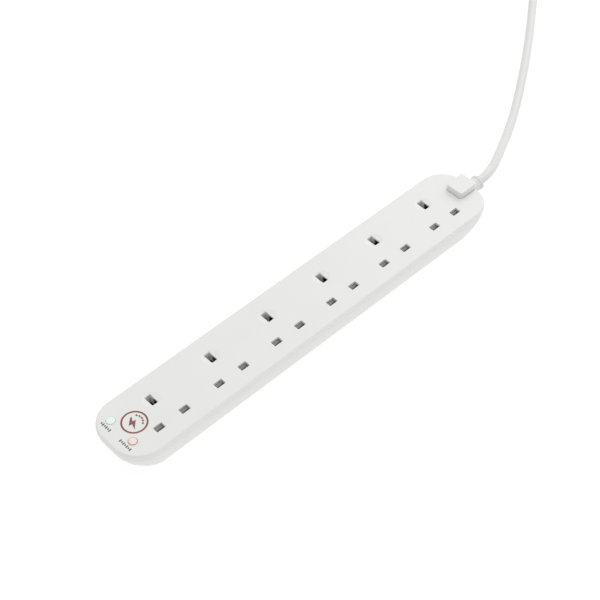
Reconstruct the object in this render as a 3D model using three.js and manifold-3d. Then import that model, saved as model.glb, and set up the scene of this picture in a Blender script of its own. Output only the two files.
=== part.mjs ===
// Six-way surge-protected extension lead for BS 1363 plugs, with two metres of round flex and a fused plug.
// Millimetres, +Z up. The case lies along X with its cord end at +X and its earth apertures towards +Y.
// The origin is on the surface it stands on, under the middle of the case.
import * as THREE from 'three';
import { mergeVertices } from 'three/addons/utils/BufferGeometryUtils.js';
import Module from 'manifold-3d';

const wasm = await Module();
wasm.setup();

// ---------------------------------------------------------------- driving dimensions
const GAP = 0.3; // clearance between neighbouring pieces
const CUT = 1; // how far a cutting shape runs past the face it cuts

const CASE_LENGTH = 355;
const CASE_WIDTH = 56.5;
const FACE_Z = 30; // top face of the cover
const PARTING_Z = 26; // seam between cover and base
const FOOT_HEIGHT = 1;
const LAMP_END_RADIUS = 22.5; // plan corners
const CORD_END_RADIUS = 21.5;
const COVER_EDGE_RADIUS = 2;
const COVER_PLATE = 2.2;
const COVER_WALL = 2;
const BASE_WALL = 2;
const BASE_FLOOR = 2;
const BASE_EDGE_RADIUS = 2;
const SEAM_INSET = 0.3; // the base stands in behind the cover's skirt
const SIDE_TAPER = 8.4; // how far the base draws in from the seam to its floor
const END_TAPER = 15;
const TAPER_POWER = 1.6;
const CORNER_KEEP = 0.6; // share of the taper that the plan corners lose from their radius
const CORNER_STEPS = 6;

const SOCKETS = 6;
const SOCKET_PITCH = 53.67;
const SOCKET_ROW_X = 1.5; // middle of the row
const PIN_SPACING = 22.23; // line to neutral, and their row to earth
const EARTH_Y = 8.55;
const POWER_Y = EARTH_Y - PIN_SPACING;
const POWER_SLOT = { x: 7.2, y: 4.8 };
const EARTH_SLOT = { x: 4.8, y: 8.8 };
const DISH_RADIUS = 7;
const DISH_DEPTH = 1;

const LENS_X = -164;
const POWER_LENS_Y = 13.6;
const SURGE_LENS_Y = -10.3;
const LENS_RADIUS = 3.2;

const CAP = {
  x0: 159.8,
  x1: 177.3,
  halfWidth: 7.9,
  height: 5.5,
  wall: 1.5,
  endWall: 2,
  roof: 2,
  corner: 2.5, // plan corners away from the cord
  squareCorner: 1, // and beside it
  edge: 0.8,
};
const CAP_LEG = { x0: 168.5, x1: 172, lowZ: 22, barbZ: 25.6, barbHalf: 0.8, barbOut: 0.4 };
const CAP_SEAT = { x0: 150, x1: 174.9, half: 9.6, z: 23.9 }; // clearance in the base under the cap
const GUARD_Z = 23.5; // axis of the cord where it leaves the case
const GUARD_END_X = 188.8;
const GUARD_NECK_X = 172; // its inner flange stops here
const GUARD_HOLE_RADIUS = 5;
const CORD_RADIUS = 3.7;
const CORD_INNER_X = 160.5; // where the sheath ends inside the case

const SCREW_Y = 2;
const LAMP_SCREW = [-147.5, 1.5];
const PILLAR_RADIUS = 5;
const PILLAR_TOP = 19.7;
const BOSS_RADIUS = 3.9;
const SCREW_SEAT_Z = 6;
const SCREW_HOLE_RADIUS = 2.05;
const SCREW_HEAD = { radius: 3.3, height: 2.2 };

const STRIP_THICK = 0.6;
const STRIP_Z = [7, 13];
const LINE_STRIP_Y = -18.1;
const NEUTRAL_STRIP_Y = -9.1;
const EARTH_STRIP_Y = 15.8;
const STRIP_X = [-146.5, 150.5];

const SHUTTER_TOP = 27.2;
const SHUTTER_PLATE = 2.6;
const SHUTTER = { half: 17, y0: -17.2, y1: -10.4, stemHalf: 5 };
const RAMP = { y0: 3.9, y1: 9.9, lowZ: 18.5, half: 4.5, toe: 0.8 };
const RIB = 1; // thickness of a rib
const STEM_GUIDE = { x: 6.1, y0: -9, y1: 3, lowZ: 24.8 }; // ribs either side of a shutter's stem
const PLATE_REST = { xs: [-16.2, -6.4, 6.4, 16.2], y0: -16.8, y1: -10.6 }; // ribs the shutters slide on
const SPRING_STOP = { half: 3, y0: -7.6, y1: -6.4, top: 23.9 };
const STRIP_REST = { x0: 21, x1: 24, halfY: 1.2 };

const LIP = { lowZ: 24, stepDown: 0.5, topZ: 27.4, back: 3.5 }; // stands up behind the cover's skirt
const FOOT = { x: 135, y: 11, radius: 4 };
const RATING_PANEL = { half: 45, y0: -14, y1: -5.5, deep: 0.4 };
const FLANK_Z = [8, 14, 20];

const BOARD = { x0: -168, x1: -153, halfWidth: 15, z0: 14, z1: 15.6 };
const BOARD_POST = { inset: 2.5, y: 11, radius: 1.8 };
const LEG_Z = BOARD.z1 + GAP; // component legs stop here
const LEAD = 0.35; // half the thickness of a component's leg

const CLAMP = { x0: 161.8, x1: 166.8, screwY: 9.3, outer: 5.6, ear: 12.6, hole: 1.7 };
const CLAMP_X = (CLAMP.x0 + CLAMP.x1) / 2;
const CLAMP_POST = { radius: 3.6, top: 21.2, holeZ: 13 };
const SADDLE_HALF = 3.5; // the block the cord is clamped down on

const COIL = { x: 426.1, y: 212.1, inner: 33, outer: 55.8, top: 16.4 };
const TIE = { angle: -25, width: 10, thick: 1.1, clear: 0.8, underZ: 0.2 };

const PLUG = { x: 350.5, y: 270.5, back: 22, front: 23.5, halfWidth: 24.5, height: 21, cordZ: 9 };
const PLUG_EARTH_X = PLUG.x - 13.5;
const PLUG_POWER_X = PLUG_EARTH_X + PIN_SPACING;
const PLUG_GUARD_END_X = 402;

// ---------------------------------------------------------------- materials
const finish = (color, roughness, metalness = 0) =>
  new THREE.MeshStandardMaterial({ color, roughness, metalness });
const caseWhite = finish(0xe9e9e5, 0.45);
const baseWhite = finish(0xe6e6e1, 0.5);
const shutterWhite = finish(0xdcdcd6, 0.5);
const guardWhite = finish(0xe4e4e0, 0.6);
const sheathWhite = finish(0xe8e8e4, 0.55);
const plugWhite = finish(0xe9e9e5, 0.45);
const tieBlack = finish(0x202022, 0.7);
const sleeveBlack = finish(0x1c1c1e, 0.5);
const brass = finish(0xc9a24f, 0.3, 1);
const steel = finish(0xb8babd, 0.35, 1);
const boardGreen = finish(0x2f6b3c, 0.5);
const varistorBlue = finish(0x2750a8, 0.5);
const fuseGrey = finish(0x8d8f93, 0.4, 0.6);
const resistorTan = finish(0xc9b083, 0.6);
const neonGlass = finish(0xe9b08a, 0.1);
const lensClear = finish(0xdff0e2, 0.15);
const lensPink = finish(0xf0c9c6, 0.2);
const coreBrown = finish(0x6b3a1e, 0.5);
const coreBlue = finish(0x2a5fae, 0.5);
const coreGreen = finish(0x5aa03a, 0.5);
const carrierWhite = finish(0xe0e0da, 0.5);
const fuseCeramic = finish(0xd9cdb8, 0.5);

// ---------------------------------------------------------------- helpers
const assembly = new THREE.Group();

function place(name, geometry, material) {
  const mesh = new THREE.Mesh(geometry, material);
  mesh.name = name;
  assembly.add(mesh);
  return mesh;
}

function solid(geometry) {
  const bare = geometry.clone();
  bare.deleteAttribute('normal');
  bare.deleteAttribute('uv');
  const merged = mergeVertices(bare, 1e-4);
  const index = merged.index.array;
  const corners = [];
  for (let i = 0; i < index.length; i += 3) {
    const [a, b, c] = [index[i], index[i + 1], index[i + 2]];
    if (a !== b && b !== c && c !== a) corners.push(a, b, c);
  }
  const mesh = new wasm.Mesh({
    numProp: 3,
    vertProperties: Float32Array.from(merged.attributes.position.array),
    triVerts: Uint32Array.from(corners),
  });
  return new wasm.Manifold(mesh);
}

function geometryOf(manifold) {
  const mesh = manifold.getMesh();
  const geometry = new THREE.BufferGeometry();
  geometry.setAttribute('position', new THREE.BufferAttribute(mesh.vertProperties, 3));
  geometry.setIndex(new THREE.BufferAttribute(mesh.triVerts, 1));
  return geometry;
}

const join = (pieces) => pieces.reduce((whole, piece) => whole.add(piece));

const block = (x0, x1, y0, y1, z0, z1) =>
  new THREE.BoxGeometry(x1 - x0, y1 - y0, z1 - z0).translate((x0 + x1) / 2, (y0 + y1) / 2, (z0 + z1) / 2);

const post = (x, y, radius, z0, z1, sides = 14) =>
  new THREE.CylinderGeometry(radius, radius, z1 - z0, sides)
    .rotateX(Math.PI / 2)
    .translate(x, y, (z0 + z1) / 2);

// a turned piece: the profile is a list of [radius, height], turned about Z
const turned = (profile, sides = 24) =>
  new THREE.LatheGeometry(profile.map(([r, h]) => new THREE.Vector2(r, h)), sides).rotateX(Math.PI / 2);

// the same, with the height along +X
const turnedAlongX = (profile, sides = 18) => turned(profile, sides).rotateY(Math.PI / 2);

// a round wire or tube along a smooth curve through the points
function tube(points, radius, steps, sides = 10) {
  const corners = Array.from({ length: sides }, (_, i) => {
    const angle = (2 * Math.PI * i) / sides;
    return new THREE.Vector2(radius * Math.cos(angle), radius * Math.sin(angle));
  });
  const section = new THREE.Shape(corners);
  const path = new THREE.CatmullRomCurve3(points.map((p) => new THREE.Vector3(...p)), false, 'centripetal');
  return new THREE.ExtrudeGeometry(section, { steps, extrudePath: path, bevelEnabled: false });
}

// a closed skin over outlines of equal length, lowest level first
function loft(levels) {
  const count = levels[0].outline.length;
  const positions = [];
  for (const { z, outline } of levels) {
    for (const [x, y] of outline) positions.push(x, y, z);
  }
  const faces = [];
  for (let level = 0; level + 1 < levels.length; level += 1) {
    for (let i = 0; i < count; i += 1) {
      const a = level * count + i;
      const b = level * count + ((i + 1) % count);
      faces.push(a, b, b + count, a, b + count, a + count);
    }
  }
  const top = (levels.length - 1) * count;
  for (let i = 1; i + 1 < count; i += 1) {
    faces.push(0, i + 1, i);
    faces.push(top, top + i, top + i + 1);
  }
  const geometry = new THREE.BufferGeometry();
  geometry.setAttribute('position', new THREE.Float32BufferAttribute(positions, 3));
  geometry.setIndex(faces);
  return geometry;
}

// a rectangle with a corner radius for each end, counter-clockwise
function roundedOutline(x0, x1, y0, y1, radiusLow, radiusHigh, steps = CORNER_STEPS) {
  const corners = [
    [x1 - radiusHigh, y1 - radiusHigh, radiusHigh, 0],
    [x0 + radiusLow, y1 - radiusLow, radiusLow, 1],
    [x0 + radiusLow, y0 + radiusLow, radiusLow, 2],
    [x1 - radiusHigh, y0 + radiusHigh, radiusHigh, 3],
  ];
  const outline = [];
  for (const [cx, cy, radius, quarter] of corners) {
    for (let i = 0; i <= steps; i += 1) {
      const angle = (Math.PI / 2) * (quarter + i / steps);
      outline.push([cx + radius * Math.cos(angle), cy + radius * Math.sin(angle)]);
    }
  }
  return outline;
}

const rectangle = (x, y, halfX, halfY) => [
  [x + halfX, y + halfY],
  [x - halfX, y + halfY],
  [x - halfX, y - halfY],
  [x + halfX, y - halfY],
];

// ---------------------------------------------------------------- the case's outline
const share = (z) => Math.min(Math.max((PARTING_Z - z) / (PARTING_Z - FOOT_HEIGHT), 0), 1) ** TAPER_POWER;

// plan outline of the case at a height, drawn in by an offset
function caseOutline(z, offset) {
  const side = SIDE_TAPER * share(z);
  const end = END_TAPER * share(z);
  const lost = (CORNER_KEEP * (side + end)) / 2 + offset;
  const halfLength = CASE_LENGTH / 2 - end - offset;
  const halfWidth = CASE_WIDTH / 2 - side - offset;
  return roundedOutline(
    -halfLength,
    halfLength,
    -halfWidth,
    halfWidth,
    LAMP_END_RADIUS - lost,
    CORD_END_RADIUS - lost,
  );
}

const caseRing = (z0, z1, outerOffset, innerOffset) => {
  const outer = loft([z0, z1].map((z) => ({ z, outline: caseOutline(z, outerOffset) })));
  const inner = loft([z0 - CUT, z1 + CUT].map((z) => ({ z, outline: caseOutline(PARTING_Z, innerOffset) })));
  return solid(outer).subtract(solid(inner));
};

const socketX = (k) => SOCKET_ROW_X + (k - (SOCKETS - 1) / 2) * SOCKET_PITCH;
const sockets = Array.from({ length: SOCKETS }, (_, k) => socketX(k));
const middles = sockets.slice(0, -1).map((x) => x + SOCKET_PITCH / 2);
const screwPlaces = [LAMP_SCREW, ...middles.map((x) => [x, SCREW_Y])];

const guardBore = (radius, x0, x1) =>
  new THREE.CylinderGeometry(radius, radius, x1 - x0, 24)
    .rotateZ(-Math.PI / 2)
    .translate((x0 + x1) / 2, 0, GUARD_Z);

// ---------------------------------------------------------------- top cover
function topCover() {
  const edge = [0, 30, 60, 90].map((degrees) => {
    const angle = THREE.MathUtils.degToRad(degrees);
    return {
      z: FACE_Z - COVER_EDGE_RADIUS * (1 - Math.sin(angle)),
      outline: caseOutline(PARTING_Z, COVER_EDGE_RADIUS * (1 - Math.cos(angle))),
    };
  });
  const outer = solid(loft([{ z: PARTING_Z, outline: caseOutline(PARTING_Z, 0) }, ...edge]));
  const underside = FACE_Z - COVER_PLATE;
  const hollow = [PARTING_Z - CUT, underside].map((z) => ({
    z,
    outline: caseOutline(PARTING_Z, COVER_WALL),
  }));
  let cover = outer.subtract(solid(loft(hollow)));

  // bosses for the case screws, and ribs that guide the shutters' stems
  for (const [x, y] of screwPlaces) {
    cover = cover.add(solid(post(x, y, BOSS_RADIUS, PILLAR_TOP + GAP, underside + CUT)));
  }
  for (const x of sockets) {
    for (const side of [-1, 1]) {
      const middle = x + side * STEM_GUIDE.x;
      const [x0, x1] = [middle - RIB / 2, middle + RIB / 2];
      const rib = block(x0, x1, STEM_GUIDE.y0, STEM_GUIDE.y1, STEM_GUIDE.lowZ, underside + CUT);
      cover = cover.add(solid(rib));
    }
  }
  for (const [x, y] of screwPlaces) {
    cover = cover.subtract(solid(post(x, y, SCREW_HOLE_RADIUS, PILLAR_TOP, underside - 1)));
  }

  // a shallow round dish about each earth aperture, cut by a ball cap of radius (a2 + h2) / 2h
  const ball = (DISH_RADIUS ** 2 + DISH_DEPTH ** 2) / (2 * DISH_DEPTH);
  const dishProfile = [[0, FACE_Z - DISH_DEPTH]];
  for (let i = 1; i <= 4; i += 1) {
    const r = (DISH_RADIUS * i) / 4;
    dishProfile.push([r, FACE_Z - DISH_DEPTH + ball - Math.sqrt(ball ** 2 - r ** 2)]);
  }
  dishProfile.push([DISH_RADIUS, FACE_Z + CUT], [0, FACE_Z + CUT]);

  for (const x of sockets) {
    cover = cover.subtract(solid(turned(dishProfile).translate(x, EARTH_Y, 0)));
    const mouth = rectangle(x, EARTH_Y, EARTH_SLOT.x / 2, EARTH_SLOT.y / 2);
    const earth = loft([underside - CUT, FACE_Z + CUT].map((z) => ({ z, outline: mouth })));
    cover = cover.subtract(solid(earth));
    for (const side of [-1, 1]) {
      const slotX = x + (side * PIN_SPACING) / 2;
      const slot = block(
        slotX - POWER_SLOT.x / 2,
        slotX + POWER_SLOT.x / 2,
        POWER_Y - POWER_SLOT.y / 2,
        POWER_Y + POWER_SLOT.y / 2,
        underside - CUT,
        FACE_Z + CUT,
      );
      cover = cover.subtract(solid(slot));
    }
  }
  for (const y of [POWER_LENS_Y, SURGE_LENS_Y]) {
    cover = cover.subtract(solid(post(LENS_X, y, LENS_RADIUS + GAP, underside - CUT, FACE_Z + CUT, 24)));
  }

  // the notch that the cord grip cap fills
  const half = CAP.halfWidth + GAP;
  const notchEnd = CASE_LENGTH / 2 + CUT;
  return cover.subtract(solid(block(CAP.x0 - GAP, notchEnd, -half, half, PARTING_Z - CUT, FACE_Z + CUT)));
}
place('top_cover', geometryOf(topCover()), caseWhite);

// ---------------------------------------------------------------- base
function baseShell() {
  const rimZ = PARTING_Z - GAP;
  const bottomEdge = [0, 30, 60, 90].map((degrees) => {
    const angle = THREE.MathUtils.degToRad(degrees);
    const z = FOOT_HEIGHT + BASE_EDGE_RADIUS * (1 - Math.cos(angle));
    return { z, outline: caseOutline(z, SEAM_INSET + BASE_EDGE_RADIUS * (1 - Math.sin(angle))) };
  });
  const flank = [...FLANK_Z, rimZ].map((z) => ({ z, outline: caseOutline(z, SEAM_INSET) }));
  const hull = solid(loft([...bottomEdge, ...flank]));
  const floorZ = FOOT_HEIGHT + BASE_FLOOR;
  const inside = [floorZ, ...FLANK_Z, rimZ + CUT].map((z) => ({
    z,
    outline: caseOutline(z, SEAM_INSET + BASE_WALL),
  }));
  let base = hull.subtract(solid(loft(inside)));

  // everything that stands inside, kept within the skin
  const low = floorZ - 0.5;
  const inner = [];
  for (const [x, y] of screwPlaces) inner.push(post(x, y, PILLAR_RADIUS, low, PILLAR_TOP));
  for (const x of sockets) {
    const restTop = SHUTTER_TOP - SHUTTER_PLATE - GAP;
    for (const middle of PLATE_REST.xs.map((offset) => x + offset)) {
      inner.push(block(middle - RIB / 2, middle + RIB / 2, PLATE_REST.y0, PLATE_REST.y1, low, restTop));
    }
    const { half, y0, y1, top } = SPRING_STOP;
    inner.push(block(x - half, x + half, y0, y1, low, top));
    for (const y of [LINE_STRIP_Y, NEUTRAL_STRIP_Y, EARTH_STRIP_Y]) {
      const [low0, low1] = [y - STRIP_REST.halfY, y + STRIP_REST.halfY];
      inner.push(block(x + STRIP_REST.x0, x + STRIP_REST.x1, low0, low1, low, STRIP_Z[0] - GAP));
    }
  }
  for (const y of [-BOARD_POST.y, BOARD_POST.y]) {
    for (const x of [BOARD.x0 + BOARD_POST.inset, BOARD.x1 - BOARD_POST.inset]) {
      inner.push(post(x, y, BOARD_POST.radius, low, BOARD.z0 - GAP, 12));
    }
  }
  for (const side of [-1, 1]) {
    inner.push(post(CLAMP_X, side * CLAMP.screwY, CLAMP_POST.radius, low, CLAMP_POST.top));
  }
  inner.push(block(CLAMP.x0, CLAMP.x1, -SADDLE_HALF, SADDLE_HALF, low, GUARD_Z - CORD_RADIUS - GAP));
  const fittings = join(inner.map(solid)).intersect(hull);
  base = base.add(fittings);

  // the lip that stands up behind the cover's skirt
  base = base.add(caseRing(LIP.lowZ, rimZ, COVER_WALL - 0.4, LIP.back));
  base = base.add(caseRing(rimZ - LIP.stepDown, LIP.topZ, COVER_WALL + GAP, LIP.back));

  // clearance for the cord guard, the cap and the screws
  const { x0, x1, half, z } = CAP_SEAT;
  const beyond = CASE_LENGTH / 2 + CUT;
  base = base.subtract(solid(guardBore(GUARD_HOLE_RADIUS, GUARD_NECK_X - CUT, beyond)));
  base = base.subtract(solid(block(x0, beyond, -half, half, rimZ, FACE_Z)));
  base = base.subtract(solid(block(x0, x1, -half, half, z, FACE_Z)));
  for (const [x, y] of screwPlaces) {
    base = base.subtract(solid(post(x, y, SCREW_HOLE_RADIUS, -CUT, FACE_Z)));
    base = base.subtract(solid(post(x, y, SCREW_HEAD.radius + 0.4, -CUT, SCREW_SEAT_Z)));
  }
  for (const side of [-1, 1]) {
    const hole = post(CLAMP_X, side * CLAMP.screwY, CLAMP.hole, CLAMP_POST.holeZ, FACE_Z, 16);
    base = base.subtract(solid(hole));
  }

  // moulded feet, and a shallow panel for the rating plate
  for (const x of [-FOOT.x, FOOT.x]) {
    for (const y of [-FOOT.y, FOOT.y]) {
      base = base.add(solid(post(x, y, FOOT.radius, 0, FOOT_HEIGHT + 0.5, 24)));
    }
  }
  const panel = RATING_PANEL;
  const panelTop = FOOT_HEIGHT + panel.deep;
  const plate = block(-panel.half, panel.half, panel.y0, panel.y1, FOOT_HEIGHT - CUT, panelTop);
  return base.subtract(solid(plate));
}
place('base_shell', geometryOf(baseShell()), baseWhite);

// ---------------------------------------------------------------- cord grip cap
function gripCap() {
  const topZ = FACE_Z + CAP.height;
  const edge = CAP.edge;
  const plan = (offset) => {
    const half = CAP.halfWidth - offset;
    return roundedOutline(CAP.x0 + offset, CAP.x1 - offset, -half, half, CAP.corner, CAP.squareCorner, 4);
  };
  const outer = loft([
    { z: PARTING_Z, outline: plan(0) },
    { z: topZ - edge, outline: plan(0) },
    { z: topZ - edge / 3, outline: plan(edge / 4) },
    { z: topZ, outline: plan(edge) },
  ]);
  const innerHalf = CAP.halfWidth - CAP.wall;
  const hollow = block(
    CAP.x0 + CAP.wall,
    CAP.x1 - CAP.endWall,
    -innerHalf,
    innerHalf,
    PARTING_Z - CUT,
    topZ - CAP.roof,
  );
  let cap = solid(outer).subtract(solid(hollow));
  // two barbed legs hold it under the cover
  for (const side of [-1, 1]) {
    const y = side * (CAP.halfWidth - CAP.wall / 2);
    const { x0, x1, lowZ, barbZ, barbHalf, barbOut } = CAP_LEG;
    cap = cap.add(solid(block(x0, x1, y - CAP.wall / 2, y + CAP.wall / 2, lowZ, PARTING_Z + CUT)));
    const barb = side * (CAP.halfWidth + barbOut);
    cap = cap.add(solid(block(x0, x1, barb - barbHalf, barb + barbHalf, barbZ, FACE_Z - COVER_PLATE - GAP)));
  }
  // the front wall stops above the sheath
  const overSheath = GUARD_Z + CORD_RADIUS + 2 * GAP;
  const wallEnd = CAP.x0 + CAP.wall + CUT;
  cap = cap.subtract(solid(block(CAP.x0 - CUT, wallEnd, -innerHalf, innerHalf, CAP_LEG.lowZ, overSheath)));
  return cap.subtract(solid(guardBore(GUARD_HOLE_RADIUS, CAP.x1 - CAP.endWall - CUT, CAP.x1 + CUT)));
}
place('cord_grip_cap', geometryOf(gripCap()), caseWhite);

// ---------------------------------------------------------------- screws
// a pan head screw along +Z with a cross recess in the low face of its head
function screw(headRadius, headHeight, shankRadius, length) {
  const profile = [
    [0, 0],
    [headRadius * 0.8, 0],
    [headRadius, headHeight * 0.35],
    [headRadius, headHeight],
    [shankRadius, headHeight],
    [shankRadius, length - 1.5],
    [0, length],
  ];
  const arm = headRadius * 0.62;
  const half = headRadius * 0.12;
  const deep = headHeight * 0.6;
  return solid(turned(profile, 12))
    .subtract(solid(block(-arm, arm, -half, half, -CUT, deep)))
    .subtract(solid(block(-half, half, -arm, arm, -CUT, deep)));
}
const caseScrew = geometryOf(screw(SCREW_HEAD.radius, SCREW_HEAD.height, 1.75, 22.5));
screwPlaces.forEach(([x, y], i) => {
  place(`case_screw_${i + 1}`, caseScrew, steel).position.set(x, y, SCREW_SEAT_Z - GAP - SCREW_HEAD.height);
});
const clampHead = 1.8;
const clampScrew = geometryOf(screw(2.8, clampHead, 1.4, 11.8));
[-1, 1].forEach((side, i) => {
  const mesh = place(`clamp_screw_${i + 1}`, clampScrew, steel);
  mesh.position.set(CLAMP_X, side * CLAMP.screwY, GUARD_Z + GAP + clampHead);
  mesh.rotation.x = Math.PI;
});

// ---------------------------------------------------------------- cord clamp, a strap over the sheath
function cordClamp() {
  const strap = new THREE.Shape();
  const { outer: outerRadius, ear } = CLAMP;
  const innerRadius = CORD_RADIUS + GAP;
  const earZ = GUARD_Z - 2;
  strap.moveTo(ear, earZ);
  strap.lineTo(ear, GUARD_Z);
  strap.lineTo(outerRadius, GUARD_Z);
  strap.absarc(0, GUARD_Z, outerRadius, 0, Math.PI, false);
  strap.lineTo(-ear, GUARD_Z);
  strap.lineTo(-ear, earZ);
  strap.lineTo(-innerRadius, earZ);
  strap.lineTo(-innerRadius, GUARD_Z);
  strap.absarc(0, GUARD_Z, innerRadius, Math.PI, 0, true);
  strap.lineTo(innerRadius, earZ);
  const along = new THREE.Matrix4().makeBasis(
    new THREE.Vector3(0, 1, 0),
    new THREE.Vector3(0, 0, 1),
    new THREE.Vector3(1, 0, 0),
  );
  const depth = CLAMP.x1 - CLAMP.x0;
  const body = new THREE.ExtrudeGeometry(strap, { depth, bevelEnabled: false, curveSegments: 8 });
  let clamp = solid(body.applyMatrix4(along).translate(CLAMP.x0, 0, 0));
  for (const side of [-1, 1]) {
    const hole = post(CLAMP_X, side * CLAMP.screwY, CLAMP.hole, CLAMP_POST.holeZ, FACE_Z, 16);
    clamp = clamp.subtract(solid(hole));
  }
  return clamp;
}
place('cord_clamp', geometryOf(cordClamp()), steel);

// ---------------------------------------------------------------- cord guard, turned about the cord's axis
const boreRadius = CORD_RADIUS + GAP;
const guardProfile = [
  [boreRadius, 168],
  [6, 168],
  [6, 172.2],
  [4.7, 172.2],
  [4.7, 177.9],
  [6.2, 177.9],
  [6.1, 179.5],
  [5.4, 186],
  [5.9, 186.6],
  [5.9, 188.4],
  [5.5, GUARD_END_X],
  [boreRadius, GUARD_END_X],
  [boreRadius, 168],
];
place('cord_guard', turnedAlongX(guardProfile).translate(0, 0, GUARD_Z), guardWhite);

// ---------------------------------------------------------------- lamps
function lensProfile() {
  const [flangeZ, shoulderZ, rimZ, crown] = [26.2, 27.5, FACE_Z + 0.2, 1.1];
  const profile = [
    [0, 29],
    [2.4, 29],
    [2.4, flangeZ],
    [4.4, flangeZ],
    [4.4, shoulderZ],
    [LENS_RADIUS, shoulderZ],
    [LENS_RADIUS, rimZ],
  ];
  for (const degrees of [30, 60]) {
    const angle = THREE.MathUtils.degToRad(degrees);
    profile.push([LENS_RADIUS * Math.cos(angle), rimZ + crown * Math.sin(angle)]);
  }
  profile.push([0, rimZ + crown]);
  return profile;
}
const neonProfile = [
  [0, LEG_Z],
  [0.9, LEG_Z],
  [0.9, 18],
  [2, 18.6],
  [2, 26.8],
  [1.4, 28.2],
  [0, 28.7],
];
for (const [name, y, material] of [['power', POWER_LENS_Y, lensClear], ['surge', SURGE_LENS_Y, lensPink]]) {
  const lens = turned(lensProfile(), 20);
  place(`${name}_lens`, lens, material).position.set(LENS_X, y, 0);
  place(`${name}_neon`, turned(neonProfile, 12), neonGlass).position.set(LENS_X, y, 0);
}

// ---------------------------------------------------------------- surge board
function surgeBoard() {
  const plan = (half) => roundedOutline(BOARD.x0, BOARD.x1, -half, half, 4, 1, 3);
  const board = loft([BOARD.z0, BOARD.z1].map((z) => ({ z, outline: plan(BOARD.halfWidth) })));
  return solid(board).subtract(solid(post(-161, 10.4, 1, 10, 20, 12)));
}
place('surge_board', geometryOf(surgeBoard()), boardGreen);

// a varistor disc standing on two legs, its flat side towards Y
function varistor() {
  const disc = new THREE.CylinderGeometry(5, 5, 4, 20);
  const legs = [-2.5, 2.5].map((x) => block(x - LEAD, x + LEAD, -LEAD, LEAD, -5.2, -3));
  return join([disc, ...legs].map(solid));
}
const varistorGeometry = geometryOf(varistor());
[-4, 1.5, 7].forEach((y, i) => {
  place(`varistor_${i + 1}`, varistorGeometry, varistorBlue).position.set(-162.6, y, LEG_Z + 5.2);
});

// an axial component lying along Y on two bent legs
function axial(radius, length) {
  const body = new THREE.CylinderGeometry(radius, radius, length, 14);
  const reach = length / 2 + 0.8;
  const lead = block(-LEAD, LEAD, -reach, reach, -LEAD, LEAD);
  const legs = [-reach, reach].map((y) => block(-LEAD, LEAD, y - LEAD, y + LEAD, -radius - 1, LEAD));
  return join([body, lead, ...legs].map(solid));
}
const thermalFuse = geometryOf(axial(1.7, 7.6));
place('thermal_fuse', thermalFuse, fuseGrey).position.set(-155.6, -7.8, LEG_Z + 2.9);
const resistor = geometryOf(axial(1.2, 5.4));
[2.6, 10.6].forEach((y, i) => {
  place(`ballast_resistor_${i + 1}`, resistor, resistorTan).position.set(-156, y, LEG_Z + 2.2);
});

// ---------------------------------------------------------------- busbars with their spring clips
// one bent leaf of a clip: [distance from the pin's middle, height]
const leafLine = (top) => [
  [2.6, STRIP_Z[0]],
  [2.6, STRIP_Z[0] + 2],
  [1.9, top - 4.5],
  [3.3, top],
];

function leaf(top, side, width, along) {
  const line = leafLine(top);
  const thick = 0.5;
  const outline = [...line, ...[...line].reverse().map(([n, z]) => [n + thick, z])];
  const points = outline.map(([n, z]) => new THREE.Vector2(side * n, z));
  const body = new THREE.ExtrudeGeometry(new THREE.Shape(points), { depth: width, bevelEnabled: false });
  body.translate(0, 0, -width / 2);
  const axes = along === 'x' ? [[0, 1, 0], [0, 0, 1], [1, 0, 0]] : [[1, 0, 0], [0, 0, 1], [0, -1, 0]];
  return body.applyMatrix4(new THREE.Matrix4().makeBasis(...axes.map((axis) => new THREE.Vector3(...axis))));
}

function busbar(stripY, clips, clipWidth, clipTop, along) {
  const half = STRIP_THICK / 2;
  const pieces = [block(STRIP_X[0], STRIP_X[1], stripY - half, stripY + half, ...STRIP_Z)];
  for (const [x, y] of clips) {
    for (const side of [-1, 1]) pieces.push(leaf(clipTop, side, clipWidth, along).translate(x, y, 0));
    const webHalf = along === 'x' ? clipWidth / 2 : 3;
    const reach = along === 'x' ? 3 : clipWidth / 2;
    const [low, high] = [Math.min(y - reach, stripY), Math.max(y + reach, stripY)];
    pieces.push(block(x - webHalf, x + webHalf, low, high, STRIP_Z[0], STRIP_Z[0] + STRIP_THICK));
  }
  return join(pieces.map(solid));
}
const powerClips = (side) => sockets.map((x) => [x + (side * PIN_SPACING) / 2, POWER_Y]);
place('line_busbar', geometryOf(busbar(LINE_STRIP_Y, powerClips(1), 5.5, 20, 'x')), brass);
place('neutral_busbar', geometryOf(busbar(NEUTRAL_STRIP_Y, powerClips(-1), 5.5, 20, 'x')), brass);
const earthClips = sockets.map((x) => [x, EARTH_Y]);
place('earth_busbar', geometryOf(busbar(EARTH_STRIP_Y, earthClips, 7.5, 17, 'y')), brass);

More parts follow.
